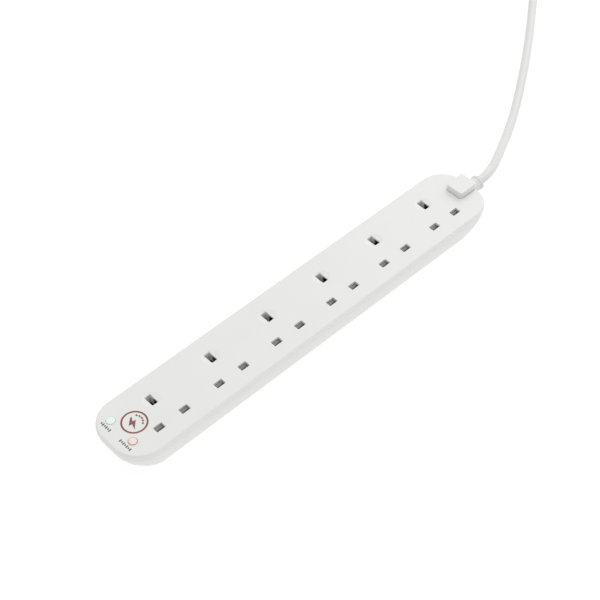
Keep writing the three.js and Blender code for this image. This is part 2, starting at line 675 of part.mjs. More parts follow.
// ---------------------------------------------------------------- shutters, pushed to -Y by the earth pin
function shutter() {
  const low = SHUTTER_TOP - SHUTTER_PLATE;
  const plate = block(-SHUTTER.half, SHUTTER.half, SHUTTER.y0, SHUTTER.y1, low, SHUTTER_TOP);
  const { stemHalf } = SHUTTER;
  const stem = block(-stemHalf, stemHalf, SHUTTER.y1 - 0.2, RAMP.y0 + 0.4, low, SHUTTER_TOP);
  const wedge = new THREE.Shape([
    new THREE.Vector2(RAMP.y0, RAMP.lowZ),
    new THREE.Vector2(RAMP.y1, RAMP.lowZ),
    new THREE.Vector2(RAMP.y1, RAMP.lowZ + RAMP.toe),
    new THREE.Vector2(RAMP.y0 + 0.6, SHUTTER_TOP),
    new THREE.Vector2(RAMP.y0, SHUTTER_TOP),
  ]);
  const across = new THREE.Matrix4().makeBasis(
    new THREE.Vector3(0, 1, 0),
    new THREE.Vector3(0, 0, 1),
    new THREE.Vector3(1, 0, 0),
  );
  const ramp = new THREE.ExtrudeGeometry(wedge, { depth: 2 * RAMP.half, bevelEnabled: false });
  ramp.applyMatrix4(across).translate(-RAMP.half, 0, 0);
  return join([plate, stem, ramp].map(solid));
}
const shutterGeometry = geometryOf(shutter());

// compression spring along Y between the base's post and the back of the ramp
const SPRING = { y0: -6.1, y1: RAMP.y0 - GAP, z: 21.3, radius: 1.7, wire: 0.28, turns: 4 };
const springPoints = [];
for (let i = 0; i <= SPRING.turns * 8; i += 1) {
  const angle = (2 * Math.PI * i) / 8;
  const run = SPRING.y1 - SPRING.y0 - 2 * SPRING.wire;
  springPoints.push([
    SPRING.radius * Math.cos(angle),
    SPRING.y0 + SPRING.wire + (run * i) / (SPRING.turns * 8),
    SPRING.z + SPRING.radius * Math.sin(angle),
  ]);
}
const springGeometry = tube(springPoints, SPRING.wire, SPRING.turns * 8, 4);
sockets.forEach((x, k) => {
  place(`shutter_${k + 1}`, shutterGeometry, shutterWhite).position.x = x;
  place(`shutter_spring_${k + 1}`, springGeometry, steel).position.x = x;
});

// ---------------------------------------------------------------- wiring inside the case
const stripEndX = STRIP_X[1] + 1.4;
const coreRadius = 1.1;
const cores = {
  line_core: [
    [159.9, -1.7, 22.7],
    [159.3, -1.8, 22.7],
    [158, -6, 21.5],
    [156, -12.5, 18],
    [154.6, -17.3, 13.5],
    [152.6, LINE_STRIP_Y, 10.5],
    [stripEndX, LINE_STRIP_Y, 10],
  ],
  neutral_core: [
    [159.9, -0.2, 25.3],
    [159.2, -0.3, 25.3],
    [157, -2, 24.6],
    [154.2, -5.5, 21.5],
    [153, -8.3, 16],
    [152.2, NEUTRAL_STRIP_Y, 12],
    [stripEndX, NEUTRAL_STRIP_Y, 10],
  ],
  earth_core: [
    [159.9, 1.7, 22.7],
    [159.3, 1.8, 22.7],
    [157.8, 6, 21],
    [155.4, 12, 16.5],
    [153.6, 15.2, 12.5],
    [152.4, EARTH_STRIP_Y, 10.6],
    [stripEndX, EARTH_STRIP_Y, 10],
  ],
};
const coreMaterial = { line_core: coreBrown, neutral_core: coreBlue, earth_core: coreGreen };
for (const [name, points] of Object.entries(cores)) {
  place(name, tube(points, coreRadius, 14, 8), coreMaterial[name]);
}

const tailX = STRIP_X[0] - 0.6;
const boardLinks = [
  ['board_line_wire', LINE_STRIP_Y, -14, coreBrown],
  ['board_neutral_wire', NEUTRAL_STRIP_Y, -2.2, coreBlue],
  ['board_earth_wire', EARTH_STRIP_Y, 13.6, coreGreen],
];
for (const [name, stripY, padY, material] of boardLinks) {
  const points = [
    [tailX, stripY, 11],
    [tailX - 2.4, stripY, 13],
    [-151.4, (stripY + padY) / 2, 18.5],
    [-153.6, padY, 19],
    [-153.9, padY, LEG_Z],
  ];
  place(name, tube(points, 0.8, 12, 8), material);
}

// ---------------------------------------------------------------- the cord
// the free stretch, by hand: straight out of the guard, down to the surface and away in one easy bend
const leadRoute = [
  [CORD_INNER_X, 0, GUARD_Z],
  [175, 0, GUARD_Z],
  [188, 0, GUARD_Z],
  [197, 0.6, 23.3],
  [207.3, 3.6, 21.4],
  [218, 8.6, 18.4],
  [229.2, 14.7, 15],
  [242.4, 22, 11.4],
  [255.4, 29.2, 8.3],
  [270.1, 37.5, 5.8],
  [285, 46.3, 4.4],
  [303.3, 57.8, 3.85],
  [323.3, 71, 3.8],
  [345.3, 86, 3.8],
  [367.7, 102, 3.8],
  [390.4, 119, 3.8],
  [413.4, 136.7, 3.8],
  [433.2, 151.9, 3.8],
];
place('cord_lead', tube(leadRoute, CORD_RADIUS, 46), sheathWhite);

const tailRoute = [
  [412, 270.2, 9.3],
  [407, 270.4, 9.1],
  [402, PLUG.y, PLUG.cordZ],
  [390, PLUG.y, PLUG.cordZ],
  [PLUG.x + PLUG.front + 0.6, PLUG.y, PLUG.cordZ],
];
place('cord_tail', tube(tailRoute, CORD_RADIUS, 10), sheathWhite);

function coil() {
  const ring = turned(
    [
      [COIL.inner, 0],
      [COIL.outer, 0],
      [COIL.outer, COIL.top],
      [COIL.inner, COIL.top],
      [COIL.inner, 0],
    ],
    32,
  );
  const half = TIE.width / 2 + TIE.clear;
  const relief = block(COIL.inner - CUT, COIL.outer + CUT, -half, half, -CUT, TIE.underZ + TIE.thick + 0.4);
  return solid(ring).subtract(solid(relief).rotate([0, 0, TIE.angle]));
}
place('cord_coil', geometryOf(coil()), sheathWhite).position.set(COIL.x, COIL.y, 0);

function tie() {
  const half = TIE.width / 2;
  const reach = TIE.clear + TIE.thick;
  const outer = block(COIL.inner - reach, COIL.outer + reach, -half, half, TIE.underZ, COIL.top + reach);
  const inner = block(
    COIL.inner - TIE.clear,
    COIL.outer + TIE.clear,
    -half - CUT,
    half + CUT,
    TIE.underZ + TIE.thick,
    COIL.top + TIE.clear,
  );
  return solid(outer).subtract(solid(inner)).rotate([0, 0, TIE.angle]);
}
place('cord_tie', geometryOf(tie()), tieBlack).position.set(COIL.x, COIL.y, 0);

// ---------------------------------------------------------------- the plug, on its back with its pins up
const CARRIER = { x: 349.2, halfX: 4.1, halfY: 14.5, lowZ: 12.2, plateZ: 18.6 };
const PIN_ROOT_Z = PLUG.height - 5.7;
const POWER_PIN = { x: PLUG_POWER_X, halfX: 2, halfY: 3.175, length: 17.7, sleeved: true };
const pins = {
  line: { ...POWER_PIN, y: PLUG.y - PIN_SPACING / 2 },
  neutral: { ...POWER_PIN, y: PLUG.y + PIN_SPACING / 2 },
  earth: { x: PLUG_EARTH_X, y: PLUG.y, halfX: 4, halfY: 2, length: 22.7, sleeved: false },
};

function plugBody() {
  const plan = (inset) =>
    roundedOutline(
      PLUG.x - PLUG.back + inset,
      PLUG.x + PLUG.front - inset,
      PLUG.y - PLUG.halfWidth + inset,
      PLUG.y + PLUG.halfWidth - inset,
      16,
      9,
      6,
    );
  const levels = [[0, 3], [0.8, 1.6], [2.2, 0.7], [5, 0.2], [9, 0], [19, 0], [20.4, 0.4], [PLUG.height, 1.2]];
  let body = solid(loft(levels.map(([z, inset]) => ({ z, outline: plan(inset) }))));
  for (const pin of Object.values(pins)) {
    const pocket = [PIN_ROOT_Z - GAP, PLUG.height + CUT].map((z) => ({
      z,
      outline: rectangle(pin.x, pin.y, pin.halfX + GAP, pin.halfY + GAP),
    }));
    body = body.subtract(solid(loft(pocket)));
  }
  const pocket = block(
    CARRIER.x - CARRIER.halfX - GAP,
    CARRIER.x + CARRIER.halfX + GAP,
    PLUG.y - CARRIER.halfY - GAP,
    PLUG.y + CARRIER.halfY + GAP,
    10,
    PLUG.height + CUT,
  );
  return body.subtract(solid(pocket));
}
place('plug_body', geometryOf(plugBody()), plugWhite);

const SLEEVE = { top: PLUG.height + 9, neck: 0.85, wall: 0.6 };
for (const [name, pin] of Object.entries(pins)) {
  const top = PLUG.height + pin.length;
  const levels = [[PIN_ROOT_Z, 0]];
  if (pin.sleeved) {
    levels.push([PLUG.height, 0], [PLUG.height, SLEEVE.neck]);
    levels.push([SLEEVE.top + GAP, SLEEVE.neck], [SLEEVE.top + GAP, 0]);
  }
  levels.push([top - 1.4, 0], [top, 0.8]);
  const skin = levels.map(([z, inset]) => ({
    z,
    outline: rectangle(pin.x, pin.y, pin.halfX - inset, pin.halfY - inset),
  }));
  place(`plug_${name}_pin`, loft(skin), brass);
  if (pin.sleeved) {
    const shell = [PLUG.height + GAP, SLEEVE.top].map((z) => ({
      z,
      outline: rectangle(pin.x, pin.y, pin.halfX, pin.halfY),
    }));
    const bore = [PLUG.height, SLEEVE.top + CUT].map((z) => ({
      z,
      outline: rectangle(pin.x, pin.y, pin.halfX - SLEEVE.wall, pin.halfY - SLEEVE.wall),
    }));
    place(`${name}_pin_sleeve`, geometryOf(solid(loft(shell)).subtract(solid(loft(bore)))), sleeveBlack);
  }
}

function fuseCarrier() {
  const y0 = PLUG.y - CARRIER.halfY;
  const y1 = PLUG.y + CARRIER.halfY;
  const x0 = CARRIER.x - CARRIER.halfX;
  const x1 = CARRIER.x + CARRIER.halfX;
  const whole = block(x0, x1, y0, y1, CARRIER.lowZ, PLUG.height);
  const hollow = block(x0 + 0.6, x1 - 0.6, y0 + 1, y1 - 1, CARRIER.lowZ - CUT, CARRIER.plateZ);
  const lip = block(x0 + 2, x1 - 2, y1 - 3, y1 - 1.6, PLUG.height - 0.8, PLUG.height + CUT);
  return solid(whole).subtract(solid(hollow)).subtract(solid(lip));
}
place('fuse_carrier', geometryOf(fuseCarrier()), carrierWhite);
const fuse = new THREE.CylinderGeometry(3.175, 3.175, 25.4, 18);
place('plug_fuse', fuse, fuseCeramic).position.set(CARRIER.x, PLUG.y, 15);

const plugGuardStart = PLUG.x + PLUG.front + GAP;
const plugGuardProfile = [
  [boreRadius, plugGuardStart],
  [6.9, plugGuardStart],
  [6.7, plugGuardStart + 5],
  [5.2, PLUG_GUARD_END_X - 5],
  [4.9, PLUG_GUARD_END_X],
  [boreRadius, PLUG_GUARD_END_X],
  [boreRadius, plugGuardStart],
];
place('plug_cord_guard', turnedAlongX(plugGuardProfile).translate(0, PLUG.y, PLUG.cordZ), guardWhite);

export default assembly;
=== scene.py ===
"""Finished look of a six-way extension lead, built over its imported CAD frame.

Every new piece is a surface worked out with numpy in millimetres and stored in metres. A shape is a
stack of rings, a profile turned about an axis, or a section carried along a line.
"""

import math

import bmesh
import bpy
import numpy as np
from mathutils import Matrix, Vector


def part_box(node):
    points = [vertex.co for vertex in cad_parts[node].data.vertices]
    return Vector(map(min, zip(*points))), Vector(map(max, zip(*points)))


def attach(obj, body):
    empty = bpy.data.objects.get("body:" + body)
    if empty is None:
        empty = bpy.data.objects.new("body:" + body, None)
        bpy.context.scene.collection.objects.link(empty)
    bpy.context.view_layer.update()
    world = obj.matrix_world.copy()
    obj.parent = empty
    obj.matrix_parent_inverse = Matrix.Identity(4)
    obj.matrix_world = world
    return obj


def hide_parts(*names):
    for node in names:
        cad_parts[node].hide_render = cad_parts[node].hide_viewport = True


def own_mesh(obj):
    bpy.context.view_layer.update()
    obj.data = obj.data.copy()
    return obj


bl_info = {
    "name": "Six-way extension lead",
    "version": (1, 0, 0),
    "blender": (4, 5, 0),
    "location": "3D View > Sidebar > Extension lead",
    "description": "Builds the moulded case, lamps, springs, flex and plug over the CAD frame",
    "category": "Object",
}

MM = 0.001
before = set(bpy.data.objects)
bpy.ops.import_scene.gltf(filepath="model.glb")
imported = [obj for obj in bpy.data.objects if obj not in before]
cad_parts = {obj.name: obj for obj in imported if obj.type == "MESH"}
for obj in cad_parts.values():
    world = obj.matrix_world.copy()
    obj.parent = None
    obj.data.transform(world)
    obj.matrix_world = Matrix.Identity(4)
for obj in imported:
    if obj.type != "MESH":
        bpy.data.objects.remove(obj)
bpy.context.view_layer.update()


def span(node):
    """Lowest and highest corner of a CAD node, in millimetres."""
    low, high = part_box(node)
    return np.array(low) / MM, np.array(high) / MM


COVER_LOW, COVER_HIGH = span("top_cover")
CASE_LENGTH = float(COVER_HIGH[0] - COVER_LOW[0])
CASE_WIDTH = float(COVER_HIGH[1] - COVER_LOW[1])
FACE_Z = float(COVER_HIGH[2])

# heights and insets that the cover and the base share
PARTING_Z = 26.0
RIM_Z = 25.7
FOOT = 1.0
SIDE_TAPER = 8.4
END_TAPER = 15.0
TAPER_POWER = 1.6
CORNER_KEEP = 0.6
LAMP_END_RADIUS = 22.5
CORD_END_RADIUS = 21.5
SEAM_INSET = 0.3
PLATE = 2.2
WALL = 2.0
GAP = 0.3

SOCKET_PITCH = 53.67
SOCKETS = 1.5 + (np.arange(6) - 2.5) * SOCKET_PITCH
PIN_SPACING = 22.23
SIDES = (-1, 1)
EARTH_Y = 8.55
POWER_Y = EARTH_Y - PIN_SPACING
SCREWS = [(-147.5, 1.5)] + [(float(x) + SOCKET_PITCH / 2, 2.0) for x in SOCKETS[:-1]]
CLAMP_X, CLAMP_Y = 164.3, 9.3
STRIPS_Y = (-18.1, -9.1, 15.8)
LENS_X = -164.0
LAMPS = {"power": 13.6, "surge": -10.3}
LENS_RADIUS = 3.2
GUARD_Z = 23.5
LEG_Z = 15.9

COIL_CENTRE = (426.1, 212.1)
TIE_ANGLE = math.radians(-25)
PLUG_Y = 270.5
PLUG_CORD_Z = 9.0
PINS = ("plug_line_pin", "plug_neutral_pin", "plug_earth_pin")
SLEEVES = ("line_pin_sleeve", "neutral_pin_sleeve")

# the camera of the photograph, solved from the 18 apertures
CAMERA_PLACE = (-468.2, -528.9, 834.9)
CAMERA_TURN = np.radians([-41.454, 48.581, -2.21])
CAMERA_LENS = 89.253

# the free stretch: straight out of the guard, down to the surface and away in one easy bend
LEAD = [
    (160.5, 0, 23.5), (175, 0, 23.5), (188, 0, 23.5), (197, 0.6, 23.3), (207.3, 3.6, 21.4),
    (218, 8.6, 18.4), (229.2, 14.7, 15), (242.4, 22, 11.4), (255.4, 29.2, 8.3), (270.1, 37.5, 5.8),
    (285, 46.3, 4.4), (303.3, 57.8, 3.85), (323.3, 71, 3.8), (345.3, 86, 3.8), (367.7, 102, 3.8),
    (390.4, 119, 3.8), (413.4, 136.7, 3.8), (433.2, 151.9, 3.8), (445.5, 161.4, 3.8),
]
# from the top of the coil down to the plug
TAIL = [
    (441, 262.6, 11.3), (430, 267, 10.95), (416, 270, 9.8),
    (402, 270.5, 9), (388, 270.5, 9), (374.6, 270.5, 9),
]


# ---------------------------------------------------------------- surfaces
def ease(x, low, high):
    """Smooth step from 0 at low to 1 at high: 3t^2 - 2t^3."""
    t = np.clip((np.asarray(x, float) - low) / (high - low), 0, 1)
    return t * t * (3 - 2 * t)


def skin(rings, ends=True):
    """Quads between neighbouring rings of an array of levels x points x 3, and a flat face on each end."""
    levels, count = rings.shape[:2]
    index = np.arange(levels * count).reshape(levels, count)
    ahead = np.roll(index, -1, axis=1)
    faces = np.stack([index[:-1], ahead[:-1], ahead[1:], index[1:]], -1).reshape(-1, 4).tolist()
    if ends:
        faces += [index[0, ::-1].tolist(), index[-1].tolist()]
    return rings.reshape(-1, 3), faces


def rounded(x0, x1, y0, y1, low, high, steps=16):
    """Rectangle with a quarter circle at each corner, of radius low towards -X and high towards +X."""
    turn = np.arange(4)[:, None] * math.pi / 2 + np.linspace(0, math.pi / 2, steps + 1)
    radius = np.array([high, low, low, high])[:, None]
    centre_x = np.array([x1 - high, x0 + low, x0 + low, x1 - high])[:, None]
    centre_y = np.array([y1 - high, y1 - low, y0 + low, y0 + high])[:, None]
    line = np.stack([centre_x + radius * np.cos(turn), centre_y + radius * np.sin(turn)], -1)
    return line.reshape(-1, 2)


def stack(levels):
    """A closed shape over flat outlines, given as (height, outline) from the lowest up."""
    rings = [np.column_stack([outline, np.full(len(outline), z)]) for z, outline in levels]
    return skin(np.array(rings))


def box(x0, x1, y0, y1, z0, z1, radius=0.0):
    """A block, with its upright edges rounded where a radius is given."""
    if radius:
        outline = rounded(x0, x1, y0, y1, radius, radius, 4)
    else:
        outline = np.array([(x1, y1), (x0, y1), (x0, y0), (x1, y0)])
    return stack([(z0, outline), (z1, outline)])


def block(x, y, half_x, half_y, z0, z1, radius=0.0):
    """A box about an upright middle line."""
    return box(x - half_x, x + half_x, y - half_y, y + half_y, z0, z1, radius)


def pocket_round(node, z0, z1):
    """A box with a working gap round a CAD node."""
    low, high = span(node)
    return box(low[0] - GAP, high[0] + GAP, low[1] - GAP, high[1] + GAP, z0, z1, 0.3)


def turned(profile, sides=32, centre=(0, 0, 0), axis="Z"):
    """A profile of (radius, height) turned once about an axis: x = r cos a, y = r sin a, z = h."""
    radius, height = np.array(profile, float).T
    angle = np.linspace(0, 2 * math.pi, sides, endpoint=False)
    across = radius[:, None] * np.cos(angle)
    over = radius[:, None] * np.sin(angle)
    along = np.repeat(height[:, None], sides, axis=1)
    order = {"Z": (across, over, along), "X": (along, across, over), "Y": (over, along, across)}[axis]
    rings = np.stack(order, -1) + np.array(centre, float)
    return skin(rings, ends=False)


def post(x, y, radius, z0, z1, sides=32):
    """An upright round post."""
    return turned([(0, z0), (radius, z0), (radius, z1), (0, z1)], sides, (x, y, 0))


def arc(centre, radius, start, end, steps=6):
    """Points of a circular arc in a profile's plane, from one angle in degrees to another."""
    angle = np.radians(np.linspace(start, end, steps + 1))
    line = np.column_stack([centre[0] + radius * np.cos(angle), centre[1] + radius * np.sin(angle)])
    return [tuple(point) for point in line]


def strides(line):
    """Distances between the neighbouring points of a line."""
    return np.linalg.norm(np.diff(line, axis=0), axis=1)


def even(line, step):
    """The same line with points an even distance apart."""
    line = np.asarray(line, float)
    run = np.concatenate([[0], np.cumsum(strides(line))])
    at = np.linspace(0, run[-1], max(2, int(round(run[-1] / step)) + 1))
    return np.column_stack([np.interp(at, run, line[:, axis]) for axis in range(3)])


def smooth_line(points, step=2.5, fine=24):
    """Centripetal Catmull-Rom curve through the points, worked out for all its spans at once."""
    points = np.asarray(points, float)
    held = np.vstack([2 * points[0] - points[1], points, 2 * points[-1] - points[-2]])
    knot = np.concatenate([[0], np.cumsum(strides(held) ** 0.5)])
    p = [held[i : len(held) - 3 + i, None] for i in range(4)]
    k = [knot[i : len(knot) - 3 + i, None, None] for i in range(4)]
    t = k[1] + (k[2] - k[1]) * np.linspace(0, 1, fine)[None, :, None]

    def between(a, b, start, end):
        return (end - t) / (end - start) * a + (t - start) / (end - start) * b

    near = [between(p[i], p[i + 1], k[i], k[i + 1]) for i in range(3)]
    mid = [between(near[i], near[i + 1], k[i], k[i + 2]) for i in range(2)]
    curve = between(mid[0], mid[1], k[1], k[2]).reshape(-1, 3)
    fresh = np.concatenate([[True], strides(curve) > 1e-6])
    return even(curve[fresh], step)


def carried(line, section, lean=(0, 0, 1), closed=False):
    """A section of (side, up) points carried along a line, square to it, with up towards lean."""
    line = np.asarray(line, float)
    if closed:
        ahead = np.roll(line, -1, axis=0) - np.roll(line, 1, axis=0)
    else:
        ahead = np.gradient(line, axis=0)
    ahead /= np.linalg.norm(ahead, axis=1, keepdims=True)
    side = np.cross(np.broadcast_to(np.array(lean, float), ahead.shape), ahead)
    side /= np.linalg.norm(side, axis=1, keepdims=True)
    up = np.cross(ahead, side)
    section = np.asarray(section, float)
    rings = line[:, None] + section[:, 0, None] * side[:, None] + section[:, 1, None] * up[:, None]
    if closed:
        rings = np.concatenate([rings, rings[:1]])
    return skin(rings, ends=not closed)


def circle(radius, sides=16):
    """A round section."""
    angle = np.linspace(0, 2 * math.pi, sides, endpoint=False)
    return radius * np.column_stack([np.cos(angle), np.sin(angle)])


def link(item):
    """Puts an object in the scene."""
    bpy.context.scene.collection.objects.link(item)
    return item


def weld(mesh):
    """Merges doubled points and turns the faces outwards, keeping any UV map."""
    work = bmesh.new()
    work.from_mesh(mesh)
    bmesh.ops.remove_doubles(work, verts=work.verts, dist=1e-7)
    bmesh.ops.dissolve_degenerate(work, dist=1e-8, edges=work.edges)
    bmesh.ops.recalc_face_normals(work, faces=work.faces)
    work.to_mesh(mesh)
    work.free()
    return mesh


def cast(skins, merge=True):
    """One mesh from several skins, in metres, with doubled points merged and faces turned outwards."""
    points, faces, start = [], [], 0
    for part_points, part_faces in skins:
        points.append(part_points)
        faces += [[start + i for i in face] for face in part_faces]
        start += len(part_points)
    mesh = bpy.data.meshes.new("skin")
    mesh.from_pydata((np.vstack(points) * MM).tolist(), [], faces)
    return weld(mesh) if merge else mesh


def carve(mesh, skins, operation="DIFFERENCE"):
    """The mesh with other shapes cut away, added or kept, by the exact solver."""
    body = link(bpy.data.objects.new("body", mesh))
    tool = link(bpy.data.objects.new("tool", cast(skins)))
    change = body.modifiers.new("carve", "BOOLEAN")
    change.object = tool
    change.operation = operation
    change.solver = "EXACT"
    graph = bpy.context.evaluated_depsgraph_get()
    result = bpy.data.meshes.new_from_object(body.evaluated_get(graph))
    for item in (body, tool):
        old = item.data
        bpy.data.objects.remove(item)
        bpy.data.meshes.remove(old)
    return result


def join(mesh, skins):
    """The mesh with other shapes added."""
    return carve(mesh, skins, "UNION")


def as_skin(mesh, offset=(0, 0, 0)):
    """A mesh as points in millimetres and faces, moved by an offset."""
    points = np.empty(len(mesh.vertices) * 3)
    mesh.vertices.foreach_get("co", points)
    faces = [list(face.vertices) for face in mesh.polygons]
    return points.reshape(-1, 3) / MM + np.array(offset, float), faces


def piece(name, mesh, slot, replaces=(), crease=35, body="case", finish=None):
    """A finished piece at the origin, smooth but for edges sharper than the crease, riding on a body.

    Its look is its slot's, or that of the print named by finish.
    """
    mesh.name = name
    mesh.materials.clear()
    mesh.materials.append(finish_for(finish or slot))
    mesh.shade_smooth()
    mesh.set_sharp_from_angle(angle=math.radians(crease))
    made = link(bpy.data.objects.new(name, mesh))
    even_normals = made.modifiers.new("even normals", "WEIGHTED_NORMAL")
    even_normals.keep_sharp = True
    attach(made, body)
    if replaces:
        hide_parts(*replaces)
    return made


def lay_uv(mesh, levels, count, length, girth):
    """UV map of a carried skin: u runs along it in metres, v once round it."""
    i, j = np.meshgrid(np.arange(levels - 1), np.arange(count), indexing="ij")
    along = np.stack([i, i, i + 1, i + 1], -1).reshape(-1) / (levels - 1) * length
    round_it = np.stack([j, j + 1, j + 1, j], -1).reshape(-1) / count * girth
    uv = np.zeros((len(mesh.loops), 2))
    uv[: len(along)] = np.column_stack([along, round_it])
    mesh.uv_layers.new(name="UVMap").data.foreach_set("uv", uv.ravel())


# ---------------------------------------------------------------- finishes
def maths(operation, swapped=False):
    """A method of Wire that adds one Math node, with its two values swapped if asked."""

    def method(self, other):
        return self._with(operation, *((other, self) if swapped else (self, other)))

    return method


class Wire:
    """A socket. Arithmetic on it adds Math nodes to its tree."""

    def __init__(self, tree, socket):
        self.tree = tree
        self.socket = socket

    def _with(self, operation, *values):
        node = self.tree.nodes.new("ShaderNodeMath")
        node.operation = operation
        for place, value in zip(node.inputs, values):
            if isinstance(value, Wire):
                self.tree.links.new(value.socket, place)
            else:
                place.default_value = value
        return Wire(self.tree, node.outputs[0])

    __add__ = __radd__ = maths("ADD")
    __sub__ = maths("SUBTRACT")
    __rsub__ = maths("SUBTRACT", swapped=True)
    __mul__ = __rmul__ = maths("MULTIPLY")
    __gt__ = maths("GREATER_THAN")
    __lt__ = maths("LESS_THAN")


def socket_name(key):
    """A keyword such as base_color as the shader's own socket name."""
    return key.replace("_", " ").title().replace("Ior", "IOR")


class Finish:
    """A material under way: a Principled shader and the nodes that feed it."""

    def __init__(self, name, **plain):
        self.material = bpy.data.materials.new(name)
        self.material.use_nodes = True
        self.tree = self.material.node_tree
        self.shader = self.tree.nodes["Principled BSDF"]
        for key, value in plain.items():
            self.shader.inputs[socket_name(key)].default_value = value

    def add(self, kind, settings=None, values=None, out=0):
        """A node of this type, with its settings, its sockets' values or links, and one of its outputs."""
        node = self.tree.nodes.new("ShaderNode" + kind)
        settings = dict(settings or {})
        stops = settings.pop("stops", None)
        for key, value in settings.items():
            setattr(node, key, value)
        if stops:
            ramp = node.color_ramp
            while len(ramp.elements) < len(stops):
                ramp.elements.new(1.0)
            for element, (place, colour) in zip(ramp.elements, stops):
                element.position = place
                element.color = (*colour, 1)
        for key, value in (values or {}).items():
            if isinstance(value, Wire):
                self.tree.links.new(value.socket, node.inputs[key])
            else:
                node.inputs[key].default_value = value
        return Wire(self.tree, node.outputs[out])

    def where(self, source="Object"):
        return self.add("TexCoord", out=source)

    def axes(self, place=None):
        node = self.add("SeparateXYZ", values={"Vector": place or self.where()})
        return [Wire(self.tree, node.socket.node.outputs[i]) for i in range(3)]

    def vector(self, x, y, z=0.0):
        return self.add("CombineXYZ", values={0: x, 1: y, 2: z})

    def noise(self, scale, place=None, detail=2.0):
        values = {"Scale": scale, "Detail": detail, "Vector": place or self.where()}
        return self.add("TexNoise", values=values)

    def mix(self, share, first, second):
        """Colour mix, by a share that may be a number or a wire."""
        first, second = [c if isinstance(c, Wire) else (*c, 1) for c in (first, second)]
        return self.add("Mix", {"data_type": "RGBA"}, {0: share, 6: first, 7: second}, out=2)

    def swing(self, share, colour, low, high):
        """One colour, from its shade by low to its shade by high."""
        return self.mix(share, shade(colour, low), shade(colour, high))

    def feed(self, **wires):
        for key, wire in wires.items():
            self.tree.links.new(wire.socket, self.shader.inputs[socket_name(key)])
        return self

    def bump(self, height, depth):
        """Relief of a height wire, its full swing being depth millimetres. Gives the finished material."""
        values = {"Height": height, "Distance": depth * MM, "Strength": 1.0}
        return self.feed(normal=self.add("Bump", values=values)).material


def shade(colour, factor):
    """A colour made darker or lighter by a factor."""
    return tuple(min(1.0, c * factor) for c in colour)


def moulded(name, colour, rough, grain=0.02, swing=0.03):
    """Moulded thermoplastic: a fine spark-eroded grain, faint flow clouds and a little uneven gloss."""
    finish = Finish(name, metallic=0.0, specular_ior_level=0.5)
    clouds = finish.noise(30, detail=3)
    grit = finish.noise(3800, detail=1)
    specks = finish.noise(900)
    finish.feed(
        base_color=finish.swing(clouds, colour, 1 - swing, 1 + swing / 3),
        roughness=rough - 0.05 + 0.1 * (0.6 * clouds + 0.4 * specks),
    )
    return finish.bump(0.7 * grit + 0.3 * specks, grain)


def shutter_painted_shade(name, colour):
    """Shutter plastic with painted shade: its colour falls to near black towards its low, sloping edge at
    -Y, standing in for the shade under the near wall of each aperture.
    """
    finish = Finish(name, roughness=0.55, specular_ior_level=0.4)
    _, y, _ = finish.axes()
    grit = finish.noise(2600)
    # painted shade: near black at y -13.8 mm, the shutter's own colour from -11.6 mm, the border broken by
    # grit
    reach = {"Value": y + 0.0006 * grit, "From Min": -0.0138, "From Max": -0.0116}
    share = finish.add("MapRange", {"interpolation_type": "SMOOTHSTEP"}, reach)
    finish.feed(base_color=finish.mix(share, shade(colour, 0.02), colour))
    return finish.bump(grit, 0.02)


def flexible(name, colour, rough=0.5):
    """Extruded soft PVC on the piece's UV: faint draw lines along it and slow ripples round it."""
    finish = Finish(name, specular_ior_level=0.5)
    along, around, _ = finish.axes(finish.where("UV"))
    lines = finish.vector(6 * along, 900 * around)
    draw = finish.noise(1.0, lines)
    cloud = finish.noise(60)
    finish.feed(base_color=finish.swing(cloud, colour, 0.96, 1.01), roughness=rough - 0.06 + 0.12 * draw)
    return finish.bump(draw, 0.03)


def metal(name, colour, rough=0.3, brush=(60, 60, 2200), tarnish=0.25):
    """Rolled or drawn metal: fine drawn lines along one axis, and darker tarnish in slow patches."""
    finish = Finish(name, metallic=1.0)
    x, y, z = finish.axes()
    lines = finish.noise(1.0, finish.vector(brush[0] * x, brush[1] * y, brush[2] * z), 3)
    patches = finish.noise(140, detail=4)
    finish.feed(
        base_color=finish.mix(tarnish * patches, colour, shade(colour, 0.55)),
        roughness=rough - 0.08 + 0.16 * lines + 0.1 * patches,
    )
    return finish.bump(lines, 0.01)


def lamp_lens(name, colour, glow, power, lamp, rim):
    """Tinted lens over a glow lamp, with a fine prismatic grain and a rim of its own colour."""
    finish = Finish(name, coat_weight=0.6, coat_roughness=0.05, emission_strength=power)
    cells = finish.add("TexVoronoi", values={"Scale": 1400.0, "Vector": finish.where()})
    cloud = finish.noise(320)
    x, y, _ = finish.axes()
    away = [x - LENS_X * MM, y - LAMPS[lamp] * MM]
    square = away[0] * away[0] + away[1] * away[1]
    edge = square > (2.7 * MM) ** 2
    finish.feed(
        base_color=finish.mix(edge, finish.mix(cloud, shade(colour, 0.96), colour), rim),
        emission_color=finish.mix(cloud, glow, shade(glow, 0.85)),
        roughness=0.16 + 0.1 * cloud,
    )
    return finish.bump(cells, 0.04)


def ink(name, colour):
    """Screen-printed ink with a slightly broken surface."""
    finish = Finish(name)
    grit = finish.noise(2600, detail=3)
    finish.feed(base_color=finish.mix(grit, colour, shade(colour, 1.5)), roughness=0.4 + 0.3 * grit)
    return finish.bump(grit, 0.01)


def circuit_board(name):
    """Green solder mask over etched tracks, with its glass weave just showing."""
    finish = Finish(name, coat_weight=0.3)
    x, y, _ = finish.axes()
    place = finish.vector(x, y)
    tracks = finish.add(
        "TexBrick",
        {"offset": 0.37, "squash": 1.6},
        {"Vector": place, "Scale": 190.0, "Mortar Size": 0.035, "Brick Width": 0.9, "Row Height": 0.4},
        out="Fac",
    )
    weave = finish.noise(2400, detail=1)
    finish.feed(
        base_color=finish.mix(tracks, (0.018, 0.13, 0.045), (0.05, 0.26, 0.09)),
        roughness=0.3 + 0.15 * weave,
    )
    return finish.bump(tracks + 0.2 * weave, 0.05)


